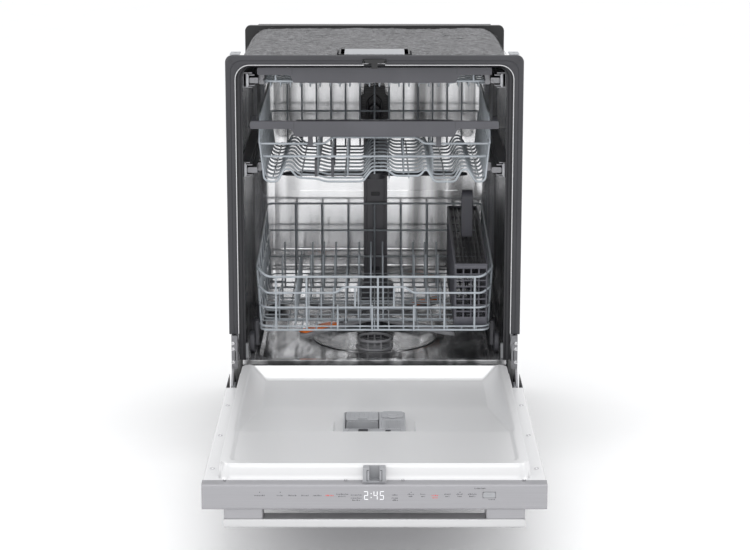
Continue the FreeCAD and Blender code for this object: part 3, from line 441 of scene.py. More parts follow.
def field(us, vs, place, keep=None):
    """A grid of points place(u, v); keep(u, v) leaves cells out by their middles."""
    verts = [place(u, v) for v in vs for u in us]
    n, faces = len(us), []
    for j in range(len(vs) - 1):
        for i in range(n - 1):
            middle = ((us[i] + us[i + 1]) / 2, (vs[j] + vs[j + 1]) / 2)
            if keep is None or keep(*middle):
                faces.append((j * n + i, j * n + i + 1, (j + 1) * n + i + 1, (j + 1) * n + i))
    return used_only(verts, faces)


def graded(*stops):
    """Grid lines from (position, step) stops: each span is cut in steps of about its size."""
    lines = [stops[0][0]]
    for (start, _), (end, step) in zip(stops, stops[1:]):
        count = max(1, round(abs(end - start) / step))
        lines += [start + (end - start) * k / count for k in range(1, count + 1)]
    return lines


def boolean(obj, shapes, operation="DIFFERENCE"):
    """Cut shapes out of a piece, keeping its finish."""
    helpers = []
    for k, (verts, faces) in enumerate(shapes):
        mesh = bpy.data.meshes.new(f"cutter{k}")
        mesh.from_pydata([tuple(v) for v in verts], [], faces)
        helper = bpy.data.objects.new(f"cutter{k}", mesh)
        bpy.context.scene.collection.objects.link(helper)
        m = obj.modifiers.new(f"cut{k}", "BOOLEAN")
        m.operation, m.object, m.solver = operation, helper, "EXACT"
        helpers.append(helper)
    bevels = [m for m in obj.modifiers if m.type == "BEVEL"]
    widths = [m.width / MM for m in bevels]
    for m in bevels:
        obj.modifiers.remove(m)
    bpy.context.view_layer.update()
    done = bpy.data.meshes.new_from_object(obj.evaluated_get(bpy.context.evaluated_depsgraph_get()))
    old, name = obj.data, obj.data.name
    obj.modifiers.clear()
    obj.data = done
    bpy.data.meshes.remove(old)
    done.name = name
    for helper in helpers:
        mesh = helper.data
        bpy.data.objects.remove(helper)
        bpy.data.meshes.remove(mesh)
    done.polygons.foreach_set("use_smooth", [True] * len(done.polygons))
    for width in widths:
        round_edges(obj, width)
    if not widths:
        done.set_sharp_from_angle(angle=math.radians(35))
    return obj


# ---- finishes of the carried-over CAD nodes -----------------------------------------------------
FINISH = {"tub_shell": "wall_steel", "tub_floor": "floor_steel", "tub_back": "back_steel",
          "feed_duct": "duct_plastic", "toe_kick": "black_plastic"}
# the rails, slides and hinge brackets take rail_steel, whose dark colour is partly painted shade
FINISH.update(dict.fromkeys(("fixed_rails", "upper_slides", "third_slides", "hinge_brackets"),
                            "rail_steel"))
for info in frame["record"]["subparts"]:
    node = frame["nodes"][info["node"]]
    node.data.materials.clear()
    node.data.materials.append(MATS[FINISH.get(info["node"], info["material_slot"])])


# ---- tub front ----------------------------------------------------------------------------------
def ring_sweep(section, half, top, foot, radius, wide, high):
    """Carry a closed section of (outward 0..1, y) along the arch; 1 reaches wide sideways, high upwards."""
    line = arch_line(half, top, foot, radius)
    verts = []
    for x, z, nx, nz in line:
        verts += [at(x + nx * out * wide, y, z + nz * out * high) for out, y in section]
    return verts, loft_faces(len(line), len(section))


def fix_normals(obj):
    """Turn every face of a closed piece outwards."""
    bm = bmesh.new()
    bm.from_mesh(obj.data)
    bmesh.ops.recalc_face_normals(bm, faces=bm.faces)
    bm.to_mesh(obj.data)
    bm.free()
    return obj


def solid(*shape, **options):
    """A closed piece with its faces turned outwards."""
    return fix_normals(piece(*shape, **options))


def trim():
    """Dark frame about the mouth: a crowned bar, square outside and round inside, mitred at the corners."""
    inner_half, inner_top = TRIM_HALF - TRIM_WIDTH + 0.5, TRIM_TOP - TRIM_WIDTH
    section = [(0.0, -0.1), (0.0, -5.2), (0.05, -6.6), (0.13, -7.4), (0.22, -7.9), (0.40, -7.9),
               (0.42, -7.2), (0.45, -7.2), (0.47, -7.9), (0.78, -7.9), (0.90, -7.3), (0.97, -6.2),
               (1.0, -4.6), (1.0, -0.1)]
    near = arch_line(inner_half, inner_top, TRIM_END, 30)
    far = arch_line(TRIM_HALF, TRIM_TOP, TRIM_END, 14)
    verts = []
    for (x0, z0, _, _), (x1, z1, _, _) in zip(near, far):
        verts += [at(x0 + (x1 - x0) * t, y, z0 + (z1 - z0) * t) for t, y in section]
    faces = loft_faces(len(near), len(section))
    bar = solid("trim_bars", verts, faces, "dark_plastic", "cabinet", nodes=["trim_frame"], sharp=50)
    notch = block(-24, 24, -9, 1, inner_top - 2, 846)
    grooves = []
    for side in (-1, 1):
        slit = block(side * 288 - 0.45, side * 288 + 0.45, -9, -7.3, 812.5, 872.5)
        grooves.append(turned(slit, math.radians(45 * side), at(side * 288, 0, 842.5), "Y"))
    boolean(bar, [notch] + grooves)
    line = ring_sweep([(0.0, -3.4), (0.0, -0.4), (-0.10, -0.4), (-0.10, -3.4)], inner_half, inner_top,
                      TRIM_END, 30, 18.5, 19.0)
    bright = solid("trim_bright_line", *line, "screw_steel", "cabinet")
    boolean(bright, [block(-21.5, 21.5, -9, 1, inner_top - 6, inner_top + 6)])
    clips = pair(prism("xy", rect(60, 71, 3, 93, 2), 850.5, 855))
    solid("strike_bracket_ends", *clips, "black_plastic", "cabinet", round_=0.4)


def gasket():
    section = [(0.0, 13.6), (0.0, 5.6), (-0.25, 4.9), (-0.5, 5.4), (-0.62, 6.9), (-0.80, 5.2), (-0.93, 5.0),
               (-1.0, 6.0), (-0.97, 8.5), (-0.86, 11.6), (-0.66, 13.2), (-0.3, 13.8)]
    shape = ring_sweep(section, 279.2, 834.2, SILL + 0.4, 30.6, 13.6, 5.6)
    solid("gasket_lip", *shape, "seal_rubber", "cabinet", nodes=["door_gasket"], sharp=60)


# ---- felt ---------------------------------------------------------------------------------------
def felt_blanket():
    gap, thick, top_thick, foot, y0, y1 = 1.7, 9.0, 16.0, 262.0, 22.0, 536.0
    half, top, radius = TUB_HALF + gap, TUB_TOP + gap, 40 + gap
    rng = random.Random(7)
    step = 5.5
    line = []
    for x, z, nx, nz in arch_line(half, top, foot, radius, steps=12):
        if line and math.dist((x, z), line[-1][:2]) > step:
            px, pz, _, _ = line[-1]
            count = int(math.dist((x, z), (px, pz)) / step)
            for k in range(1, count):
                t = k / count
                line.append((px + (x - px) * t, pz + (z - pz) * t, nx, nz))
        line.append((x, z, nx, nz))
    ys = spread(y0, y1, 90)
    verts, faces = [], []

    def lump(x, y, z):
        p = Vector((x, y, z))
        big = noise.noise(p * 0.012) + 0.6 * noise.noise(p * 0.045)
        small = noise.noise(Vector((x * 0.06, y * 0.25, z * 0.25)))
        return big * 1.5 + small * 1.0

    for level in (0, 1):
        for j, y in enumerate(ys):
            for x, z, nx, nz in line:
                edge = min(j, len(ys) - 1 - j) * (y1 - y0) / 89
                ragged = 3.0 * noise.noise(Vector((x * 0.05, z * 0.05, y1 if j > 45 else y0)))
                yy = y + (abs(ragged) if j == 0 else -abs(ragged) if j == len(ys) - 1 else 0.0)
                room = thick + (top_thick - thick) * max(nz, 0.0)
                full = room * (0.55 + 0.45 * min(1.0, math.sqrt(edge / 12.0)))
                out = 0.2 if level == 0 else min(room - 0.2, full - 2.0 + lump(x, y, z))
                verts.append(at(x + nx * out, yy, z + nz * out))
    n, rows = len(line), len(ys)
    size = n * rows

    def open_cell(i, j):
        x = (line[i][0] + line[i + 1][0]) / 2
        z = line[i][1]
        return abs(x) < 73 and z > top - 1 and ys[j] < 93

    filled = {(i, j) for j in range(rows - 1) for i in range(n - 1) if not open_cell(i, j)}
    for i, j in sorted(filled):
        a, b, c, d = j * n + i, j * n + i + 1, (j + 1) * n + i + 1, (j + 1) * n + i
        faces.append((a, b, c, d))
        faces.append((size + d, size + c, size + b, size + a))
        for (di, dj), (p, q) in (((0, -1), (a, b)), ((1, 0), (b, c)), ((0, 1), (c, d)), ((-1, 0), (d, a))):
            if (i + di, j + dj) not in filled:
                faces.append((q, p, size + p, size + q))
    pad = solid("felt_blanket", *used_only(verts, faces), "felt", "cabinet", nodes=["insulation_blanket"],
                sharp=80)
    fibres = []
    for _ in range(1500):
        k = rng.randrange(n)
        x, z, nx, nz = line[k]
        y = rng.uniform(y0 + 4, y1 - 6)
        if abs(x) < 90 and z > top - 1 and y < 100:
            continue
        room = thick + (top_thick - thick) * max(nz, 0.0)
        base = room - 2.4
        reach, lean = rng.uniform(5, 16), rng.uniform(-4, 4)
        tx, tz = nz, -nx
        tips = []
        for t, lift in ((0, 0.0), (0.5, rng.uniform(0.8, 1.9)), (1, rng.uniform(0.0, 1.4))):
            out = min(room - 0.3, base + lift)
            px, pz = x + tx * reach * t + nx * out, z + tz * reach * t + nz * out
            if px > half + thick - 0.3 or px < -half - thick + 0.3 or pz < foot or pz > top + top_thick - 0.3:
                break
            tips.append(at(px, y + lean * t, pz))
        if len(tips) == 3:
            fibres.append(tube(tips, rng.uniform(0.16, 0.3), bend=2, sides=3))
    piece("felt_loose_fibres", *join(*fibres), "felt", "cabinet")


# ---- door ---------------------------------------------------------------------------------------
def inside_round_rect(x, y, x0, x1, y0, y1, r):
    """How far a point is inside a rectangle with round corners; negative outside."""
    dx, dy = abs(x - (x0 + x1) / 2) - (x1 - x0) / 2 + r, abs(y - (y0 + y1) / 2) - (y1 - y0) / 2 + r
    return r - math.hypot(max(dx, 0), max(dy, 0)) - min(max(dx, dy), 0)


def soft_min(a, b, k):
    h = max(k - abs(a - b), 0.0) / k
    return min(a, b) - h * h * k * 0.25


def liner_height(x, y):
    """Height of the inner door over the floor."""
    boss_in = inside_round_rect(x, y, -276.3, 276.3, -682, -10, 24)
    height = FLANGE + (PLATEAU - FLANGE) * smooth(boss_in / 5.0)
    lip = inside_round_rect(x, y, -254, 254, -660, -400, 14)
    height -= 1.3 * smooth(lip / 4.0)
    far, near = PLATEAU + (12 + y), PLATEAU - 3.0 * smooth((y + 482) / 7.0) - (y + 476) * 0.1025
    side = PLATEAU - (255 - abs(x)) * 0.88
    walls = sorted((FLANGE, far, near, side))
    blend = 7.0 if walls[-1] in (far, side) else 2.5
    floor = walls[-1] + max(blend - (walls[-1] - walls[-2]), 0) ** 2 / (4 * blend)
    if -484 < y < 0:
        height = soft_min(height, floor, 3)
    pocket = inside_round_rect(x, y, -77, 77, -481, -322, 8)
    if pocket > 0:
        height = min(height, max(203.5, height - 14 * smooth(pocket / 5.0)))
    return height


def door_inner():
    xs = graded((-301.2, 1), (-297, 3), (-280, 8), (-270, 1.2), (-258, 3), (-220, 2.5), (-205, 5),
                (-80, 14), (-68, 1.5), (0, 10))
    xs = xs + [-x for x in xs[-2::-1]]
    ys = graded((-699.8, 1), (-686, 6), (-674, 1.2), (-664, 4), (-650, 2), (-486, 14), (-472, 1.0),
                (-336, 9), (-318, 2), (-240, 9), (-226, 2), (-60, 11), (-30, 2), (-2, 1.4), (15.8, 6))

    def keep(x, y):
        hinge_gap = abs(x) > 279.6 and y > -92
        pocket = abs(x) < 58.2 and -480.2 < y < -344.8
        return not (hinge_gap or pocket)

    xs = sorted(set(xs) | {-279.6, 279.6, -58.2, 58.2})
    ys = sorted(set(ys) | {-92.0, -480.2, -344.8})
    shape = field(xs, ys, lambda x, y: at(x, y, liner_height(x, y) - 0.05), keep)
    piece("door_inner_skin", *shape, "door_steel", "door", nodes=["door_liner"], thick=-1.0, sharp=50)
    skirt = []
    skirt += [block(side * 301.2, side * 300.2, -698, -94, FLANGE - 9, FLANGE - 0.1) for side in (-1, 1)]
    solid("door_inner_hem", *join(*skirt), "door_steel", "door", round_=0.3)


def dispenser():
    x, y0, y1, top = 58.0, -480.0, -345.0, 213.0
    body, faces = prism("xy", rect(-x, x, y0, y1, 8), 177, top)
    tray = solid("dispenser_frame", body, faces, "light_plastic", "door", nodes=["dispenser_body"])
    cuts = [prism("xy", rect(-52, 6, -452, -400, 8), 182, top + 1),
            prism("xy", rect(-55, 9, -455, -347.0, 3), top - 3, top + 1),
            prism("xy", rect(-50, 50, -476, -459, 3), top - 2.2, top + 1),
            lathe([(15, 0), (15, 30)], at(34, -368, 192)),
            prism("xy", rect(13, 55, -455, -394, 4), top - 1.2, top + 1)]
    boolean(tray, cuts)
    round_edges(tray, 0.6)
    rails = [block(-54.6, -52.6, -454, -348, top - 2.9, top - 0.6),
             block(6.6, 8.6, -454, -348, top - 2.9, top - 0.6)]
    catch = [prism("xy", rect(-30, -12, -474, -461, 2), top - 2.2, top + 1.4),
             prism("xy", rect(20, 30, -472, -464, 2), top - 2.2, top + 0.6)]
    solid("dispenser_catch", *join(*rails, *catch), "dark_plastic", "door", round_=0.4)
    vent = [block(20 + 4 * i, 21.6 + 4 * i, -450, -400, top - 1.2, top + 0.2) for i in range(8)]
    solid("dispenser_ribs", *join(*vent), "light_plastic", "door", round_=0.3)
    lid = prism("xy", rect(-54, 8, -398, -347.2, 4), top - 2.6, top - 0.4)
    ribs = [block(-48 + 9 * i, -46.4 + 9 * i, -388, -352, top - 0.5, top + 0.5) for i in range(7)]
    grip = prism("xy", rect(-32, -14, -396.5, -391, 1.5), top - 0.5, top + 2.8)
    solid("tablet_lid", *join(lid, grip, *ribs), "light_plastic", "dispenser_lid",
         nodes=["detergent_lid"], round_=0.5)
    cap = prism("xy", rect(14.2, 53.8, -387.8, -348.2, 6), top + 0.4, top + 2.2)
    dial = lathe([(0.1, 0), (11, 0), (11, 0.8), (10, 1.2), (0.1, 1.2)], at(34, -368, top + 2.2))
    tab = prism("xy", rect(28, 40, -391.5, -386, 1.5), top + 0.4, top + 2.0)
    solid("rinse_aid_cap", *join(cap, dial, tab), "light_plastic", "rinse_lid",
         nodes=["rinse_cap"], round_=0.5)


def latch():
    body = prism("xz", rect(-20, 20, FLANGE + 0.1, PLATEAU - 1.2, 2), -700, -682.2)
    housing = solid("latch_case", *body, "light_plastic", "door", nodes=["latch_housing"])
    boolean(housing, [block(-9, 9, -701, -683.6, FLANGE + 2.2, PLATEAU),
                      block(8, 18, -696.5, -689.5, 193.5, 200.5)])
    round_edges(housing, 0.5, harden=False)
    ridges = [block(12.6, 13.6, -700.3, -699.5, 192, 212), block(9.8, 13.6, -700.3, -699.5, 211, 212),
              block(9.8, 13.6, -700.3, -699.5, 192, 193)]
    solid("latch_ridges", *pair(join(*ridges)), "dark_plastic", "door", round_=0.2)


def screws():
    spots = [(x, y, FLANGE) for x in (-289, 289) for y in (-620, -420, -220)]
    spots += [(x, -691, FLANGE + 2.3) for x in (-262, -50, 50, 262)]
    heads = []
    for x, y, z in spots:
        r = 4.2 if z == FLANGE else 3.0
        h = 1.6 if z == FLANGE else 1.1
        heads.append(lathe([(r * 0.35, h * 0.35), (r * 0.45, h * 0.95), (r * 0.8, h), (r, h * 0.6), (r, 0)],
                           at(x, y, z), steps=20))
    solid("liner_screws", *join(*heads), "screw_steel", "door", nodes=["door_screws"], sharp=25)


def control_face():
    """Brushed panel with generic marks along it."""
    z_mid = 169.5
    marks, red, digits = [], [], []

    def mark(store, x0, x1, z0, z1, depth=0.22):
        store.append(block(x0, x1, DOOR_TIP - depth, DOOR_TIP + 0.3, z0, z1))

    rng = random.Random(11)

    def word(store, x, half, z):
        """A row of small upright strokes that reads as a caption from afar, and says nothing."""
        u = x - half
        while u < x + half - 0.8:
            tall = rng.choice((1.5, 1.5, 2.3))
            mark(store, u, u + rng.choice((0.7, 1.2)), z, z + tall)
            u += 1.9

    for x, half in ((-200, 9), (-164, 6), (-142, 8), (-120, 7), (-99, 8), (-32, 9), (36, 5)):
        word(marks, x, half, z_mid + (0 if x in (-32, 36) else -1))
    for x, half in ((-56, 10), (64, 6), (85, 5), (128, 6), (149, 6), (171, 8), (-32, 9), (36, 6)):
        shift = 7 if x in (-32, 36) else 0
        word(marks, x, half, z_mid + 1.4 - shift)
        word(marks, x, half * 0.7, z_mid - 2.6 - shift)
    for x, half in ((-77, 8), (106, 6)):
        word(red, x, half, z_mid - 1)
    word(red, 106, 5, z_mid - 5)
    word(marks, 184, 10, z_mid + 12)
    word(marks, 205, 6, z_mid - 8)
    for x in (-164, -200, 64, 149):
        mark(marks, x - 0.8, x + 0.8, z_mid + 5.4, z_mid + 6.6)
    solid("panel_marks", *join(*marks), "ink_grey", "door", slot="dark_plastic")
    solid("panel_lit_marks", *join(*red), "ink_red", "door", slot="dark_plastic")
    segments = {"a": (0, 7, 14.2, 15.6), "g": (0, 7, 7.1, 8.5), "d": (0, 7, 0, 1.4),
                "f": (0, 1.3, 7.8, 15.2), "b": (5.7, 7, 7.8, 15.2), "e": (0, 1.3, 0.4, 7.8),
                "c": (5.7, 7, 0.4, 7.8)}
    for x, lit in ((-18.0, "abgde"), (-1.5, "fgbc"), (9.5, "afgcd")):
        for name in lit:
            u0, u1, v0, v1 = segments[name]
            mark(digits, x + u0, x + u1, 161.8 + v0, 161.8 + v1, 0.32)
    for z in (166.0, 173.0):
        mark(digits, -6.5, -4.9, z - 0.8, z + 0.8, 0.32)
    solid("display_digits", *join(*digits), "ink_white", "door", slot="light_plastic")


def button():
    cap = prism("xz", rect(189.2, 210.8, 165.5, 175.5, 2), -711.75, -706.2)
    ridge = prism("xz", rect(194, 206, 169.9, 171.1, 0.5), -711.98, -711.6)
    solid("start_key", *join(cap, ridge), "light_plastic", "button", nodes=["start_button"], round_=0.6)


def handle():
    bar = prism("yz", [(-708, 108, 6), (-708, 125, 3.5), (-668, 125, 8), (-668, 108, 9)], -263.9, 263.9)
    ends = pair(prism("xy", rect(194.2, 263.9, -706, -670, 6), 124.6, 143))
    solid("bar_handle", *bar, "handle_steel", "door", slot="panel_steel", nodes=["door_handle"],
         round_=1.2)
    solid("bar_handle_ends", *ends, "panel_steel", "door", round_=1.2)


# ---- racks --------------------------------------------------------------------------------------
WIRE, TINE = 2.2, 1.6
RACK_HALF, RACK_Y0, RACK_Y1, RACK_FLOOR = 236.0, 14.0, 506.0, 283.0
WHEEL_Y = (74.0, 192.0, 332.0, 450.0)
CROSS_TINE_Y, CROSS_TINE_TOP = (98.0, 260.0, 396.0), (352.0, 388.0, 388.0)
CROSS_TINE_X = (-200.0, -138.0, -112.0, -86.0, -34.0, -8.0, 18.0, 86.0, 112.0, 138.0)


def wire(radius, bend, *points, closed=False, sides=8):
    """A wire through points given in millimetres."""
    return tube([at(*p) for p in points], radius, bend, closed, sides)


def ring(z_front, z_back, half, y0, y1, radius=WIRE, bend=24):
    return wire(radius, bend, (-half, y0, z_front), (half, y0, z_front), (half, y1, z_back),
                (-half, y1, z_back), closed=True)


def chamfered(z_front, z_side, z_back, half, y0, y1, cut, radius=WIRE):
    """A rack ring whose front corners are cut off in plan."""
    tip = half - cut * 0.7
    return wire(radius, 14, (-half, y0 + cut, z_side), (-tip, y0, z_front), (tip, y0, z_front),
                (half, y0 + cut, z_side), (half, y1, z_back), (-half, y1, z_back), closed=True)


def lower_rack():
    half, y0, y1, floor = RACK_HALF, RACK_Y0, RACK_Y1, RACK_FLOOR
    thick, thin = [], []
    thick.append(chamfered(396, 408, 454, half + 7.6, y0 - 3.4, y1 + 3.6, 32, WIRE + 0.25))
    wide = half + 5
    thick.append(wire(WIRE, 8, (-wide, y0 + 26, 370), (-wide + 20, y0 - 3, 362), (-79, y0 - 3, 362),
                      (-64, y0 - 3.6, 374.6), (64, y0 - 3.6, 374.6), (79, y0 - 3, 362),
                      (wide - 20, y0 - 3, 362), (wide, y0 + 26, 370), (wide, y1 + 3, 392),
                      (-wide, y1 + 3, 392), closed=True))
    thick.append(chamfered(331, 331, 331, half + 3, y0 - 2, y1 + 2, 24))
    thick.append(ring(floor, floor, half, y0, y1))
    thick.append(ring(floor + 8, floor + 8, half + 1, y0 - 1, y1 + 1, TINE))
    thick += [wire(WIRE, 9, (x, y0 + 26, floor - 2), (x, y0 - 1, floor - 1.4), (x, y0 - 4, 396))
              for x in (-203, -140, 7, 144, 206)]
    thick += [wire(WIRE - 0.2, 4, (x, y0 - 2.5, floor - 1), (x, y0 - 3.6, 336)) for x in (-76, -5, 81)]
    thick += [wire(WIRE - 0.2, 4, (x, y0 - 3, 331), (x, y0 - 3.6, 374)) for x in (-40, 40)]
    for y in spread(y0 + 40, y1 - 40, 7):
        top = 408 + 46 * (y - y0) / (y1 - y0)
        thick += [wire(WIRE, 10, (side * (half - 30), y, floor - 2), (side * half, y, floor - 1),
                       (side * (half + 7.4), y, top - 1)) for side in (-1, 1)]
    thick += [wire(WIRE, 9, (x, y1 - 26, floor - 2), (x, y1, floor - 1), (x, y1 + 3.4, 454))
              for x in spread(-180, 180, 7)]
    thick += [wire(TINE + 0.2, 4, (-half, y, floor - 3), (half, y, floor - 3))
              for y in spread(y0 + 42, y1 - 42, 9)]
    thin += [wire(TINE, 6, (x, y0, floor + 8), (x, y0 + 3, floor), (x, y1 - 3, floor), (x, y1, floor + 8))
             for x in spread(-210, 210, 15)]
    for x in (-165, 60):
        thin += [wire(TINE, 6, (x, y - 14, floor + 1), (x, y - 2, floor + 3), (x, y + 4, 354))
                 for y in spread(y0 + 42, y1 - 42, 16)]
        thick.append(wire(WIRE, 4, (x, y0 + 20, floor + 1), (x, y1 - 20, floor + 1)))
    for y, top in zip(CROSS_TINE_Y, CROSS_TINE_TOP):
        thick.append(wire(TINE + 0.3, 4, (-205, y, floor + 2), (155, y, floor + 2)))
        thick += [wire(TINE + 0.3, 10, (x, y, floor + 2), (x, y - 1, top - 40), (x, y + 5, top - 1))
                  for x in CROSS_TINE_X]
    for side in (-1, 1):
        zigzag = []
        for k, y in enumerate(spread(y0 + 46, y1 - 20, 23)):
            zigzag.append((side * (half + 2 + (2.6 if k % 2 else 0)), y, 341 if k % 2 == 0 else 378))
        thin.append(wire(TINE, 6, *zigzag))
    piece("lower_rack_frame", *join(*thick), "coated_wire", "bottom_rack", nodes=["lower_rack"])
    piece("lower_rack_tines", *join(*thin), "coated_wire", "bottom_rack")
    carriers = []
    for y in WHEEL_Y:
        body = prism("yz", [(y - 9, 235.5, 5), (y - 9, floor + 7, 3), (y + 9, floor + 7, 3),
                            (y + 9, 235.5, 5)], half + 6, half + 13)
        foot = block(half - 2, half + 8, y - 8, y + 8, floor - 6, floor + 4)
        pin = wire(3.4, 2, (half + 8, y, 243.3), (259.3, y, 243.3), sides=12)
        carriers.append(pair(join(body, foot, pin)))
    solid("wheel_carriers", *join(*carriers), "mid_plastic", "bottom_rack", round_=0.8)


def wheels():
    for number, y in enumerate(WHEEL_Y, 1):
        x0, z, r = 250.5, 243.3, 22.0
        tyre = ring_lathe([(r - 4, 0.2), (r - 1.2, 0), (r, 1.2), (r, 8.6), (r - 1.2, 9.8), (r - 4, 9.6)],
                          at(x0, y, z), "x")
        web = ring_lathe([(7, 2.6), (r - 4.2, 2.6), (r - 4.2, 4.4), (7, 4.4)], at(x0, y, z), "x")
        hub = ring_lathe([(3.9, 0.2), (7.4, 0.2), (7.4, 9.6), (3.9, 9.6)], at(x0, y, z), "x", 24)
        spokes = []
        for k in range(6):
            a = math.pi * k / 3
            spoke = block(x0 + 4, x0 + 8.4, y - 1.1, y + 1.1, z + 7, z + 18)
            spokes.append(turned(spoke, -a, at(x0, y, z), "X"))
        both = pair(join(tyre, web, hub, *spokes))
        solid(f"roller_pair_{number}", *both, "mid_plastic", f"wheels_{number}",
             nodes=[f"rack_wheels_{number}"], round_=0.4)


def tine_row():
    y0, y1, z, x = RACK_Y0 + 42, RACK_Y1 - 42, RACK_FLOOR + 7, -60.0
    parts = [wire(2.2, 2, (x, y0 - 8, z), (x, y1 + 8, z))]
    parts += [wire(TINE, 2, (x, y, z), (x, y + 4, 356)) for y in spread(y0, y1, 16)]
    piece("folding_tines", *join(*parts), "coated_wire", "tine_row", nodes=["fold_tines"])
    grips = [ring_lathe([(2.3, -5), (4.2, -5), (4.4, 5), (2.3, 5)], at(x, y, z), "y", 16)
             for y in (y0 + 14, y1 - 14)]
    solid("tine_row_grips", *join(*grips), "mid_plastic", "tine_row", round_=0.3)


def lattice(us, vs, place, bars_u, bars_v, bar, filled=()):
    """A moulded grid: windows between the bars; some spans of v stay filled."""
    lines_u = sorted(us + [u + s for u in bars_u for s in (-bar / 2, bar / 2)])
    lines_v = sorted(vs + [v + s for v in bars_v for s in (-bar / 2, bar / 2)])

    def keep(u, v):
        on_u = any(abs(u - b) <= bar / 2 for b in bars_u)
        on_v = any(abs(v - b) <= bar / 2 for b in bars_v)
        return on_u or on_v or any(a <= v <= b for a, b in filled)

    return field(lines_u, lines_v, place, keep)


def basket():
    x0, x1, y0, y1, z0 = 165.2, 232.8, 20.2, 485.8, 285.2
    floor_z = z0 + 1.2

    def rim(y):
        return 422 + 32 * (y - y0) / (y1 - y0)

    shapes = []
    for y, face in ((y0 + 1, 1), (y1 - 1, -1)):
        top = rim(y) - 1
        bars = spread(x0 + 2, x1 - 2, 5)
        rows = spread(z0 + 22, top - 9, 9)
        shapes.append(lattice([x0 + 0.6, x1 - 0.6], [z0 + 0.4, top], lambda u, v, y=y: at(u, y, v), bars,
                              rows, 3.0, filled=((z0, z0 + 22), (top - 9, top + 1))))
    bars = spread(y0 + 2, y1 - 2, 27)
    rows = [r / 9 for r in range(1, 9)]
    lines_y = sorted([y0 + 0.6, y1 - 0.6] + [b + s for b in bars for s in (-1.5, 1.5)])
    lines_up = sorted([0.0, 1.0, 0.12, 0.92] + [r + s for r in rows for s in (-0.012, 0.012)])

    def moulded(u, v):
        return (any(abs(u - b) <= 1.5 for b in bars) or not 0.12 <= v <= 0.92
                or any(abs(v - r) <= 0.012 for r in rows))

    shapes += [field(lines_y, lines_up, lambda u, v, x=x: at(x, u, z0 + 0.4 + (rim(u) - z0 - 1.4) * v),
                     moulded) for x in (x0 + 1, x1 - 1)]
    bottom = lattice([x0 + 0.6, x1 - 0.6], [y0 + 0.6, y1 - 0.6], lambda u, v: at(u, v, floor_z),
                     spread(x0 + 2, x1 - 2, 6), spread(y0 + 2, y1 - 2, 36), 3.0)
    shapes.append(bottom)
    piece("basket_walls", *join(*shapes), "basket_plastic", "basket", nodes=["cutlery_basket"], thick=-1.6,
          sharp=40)
    lid = lattice([x0 + 2, x1 - 2], [y0 + 4, y1 - 4], lambda u, v: at(u, v, rim(v) - 4.2),
                  spread(x0 + 4, x1 - 4, 8), spread(y0 + 6, y1 - 6, 48), 2.2)
    piece("basket_mesh_lid", *lid, "black_plastic", "basket", thick=-1.4, sharp=40)
    edge = wire(1.5, 4, (x0 + 1.4, y0 + 1.4, rim(y0) - 2), (x1 - 1.4, y0 + 1.4, rim(y0) - 2),
                (x1 - 1.4, y1 - 1.4, rim(y1) - 2), (x0 + 1.4, y1 - 1.4, rim(y1) - 2), closed=True)
    piece("basket_rim", *edge, "basket_plastic", "basket")
    outer = [(231.2, 434, 0), (231.2, 533.8, 16), (268.8, 533.8, 16), (268.8, 434, 0)]
    inner = [(236.8, 434, 0), (236.8, 527.6, 10), (263.2, 527.6, 10), (263.2, 434, 0)]
    ring_out, ring_in = outline(outer, 8), outline(inner, 8)
    verts, faces, n = [], [], len(ring_out)
    for x in (187.2, 210.8):
        verts += [at(x, p.x, p.y) for p in ring_out] + [at(x, p.x, p.y) for p in ring_in]
    for i in range(n - 1):
        faces.append((i, i + 1, n + i + 1, n + i))
        faces.append((2 * n + i, 3 * n + i, 3 * n + i + 1, 2 * n + i + 1))
        faces.append((i, 2 * n + i, 2 * n + i + 1, i + 1))
        faces.append((n + i, n + i + 1, 3 * n + i + 1, 3 * n + i))
    faces += [(0, n, 3 * n, 2 * n), (n - 1, 3 * n - 1, 4 * n - 1, 2 * n - 1)]
    solid("basket_strap", verts, faces, "basket_plastic", "basket", round_=1.2)


def runners(name, body, bar, hanger, reach):
    """Side bars that slide on the rails, each hung on three brackets."""
    hangers = [prism("xz", hanger, y - reach, y + reach) for y in (70, 250, 430)]
    solid(f"{name}_runners", *pair(join(prism("xz", bar, 18, 474), *hangers)), "rail_steel", body,
          slot="zinc_steel", round_=0.5)


def wavy_floor(half):
    """One floor wire of the upper rack: over the hollows and humps that hold the cups, as (x, z)."""
    humps = [(-225, 598), (-216, 592), (-198, 592), (-184, 618), (-172, 618), (-156, 600), (-118, 598),
             (-98, 592), (-24, 592), (-6, 616), (26, 616), (42, 604), (92, 604), (102, 616), (108, 616),
             (122, 592), (164, 592), (178, 617), (190, 617), (206, 592), (220, 592), (226, 598)]
    return [(-half - 3, 669)] + humps + [(half + 3, 669)]


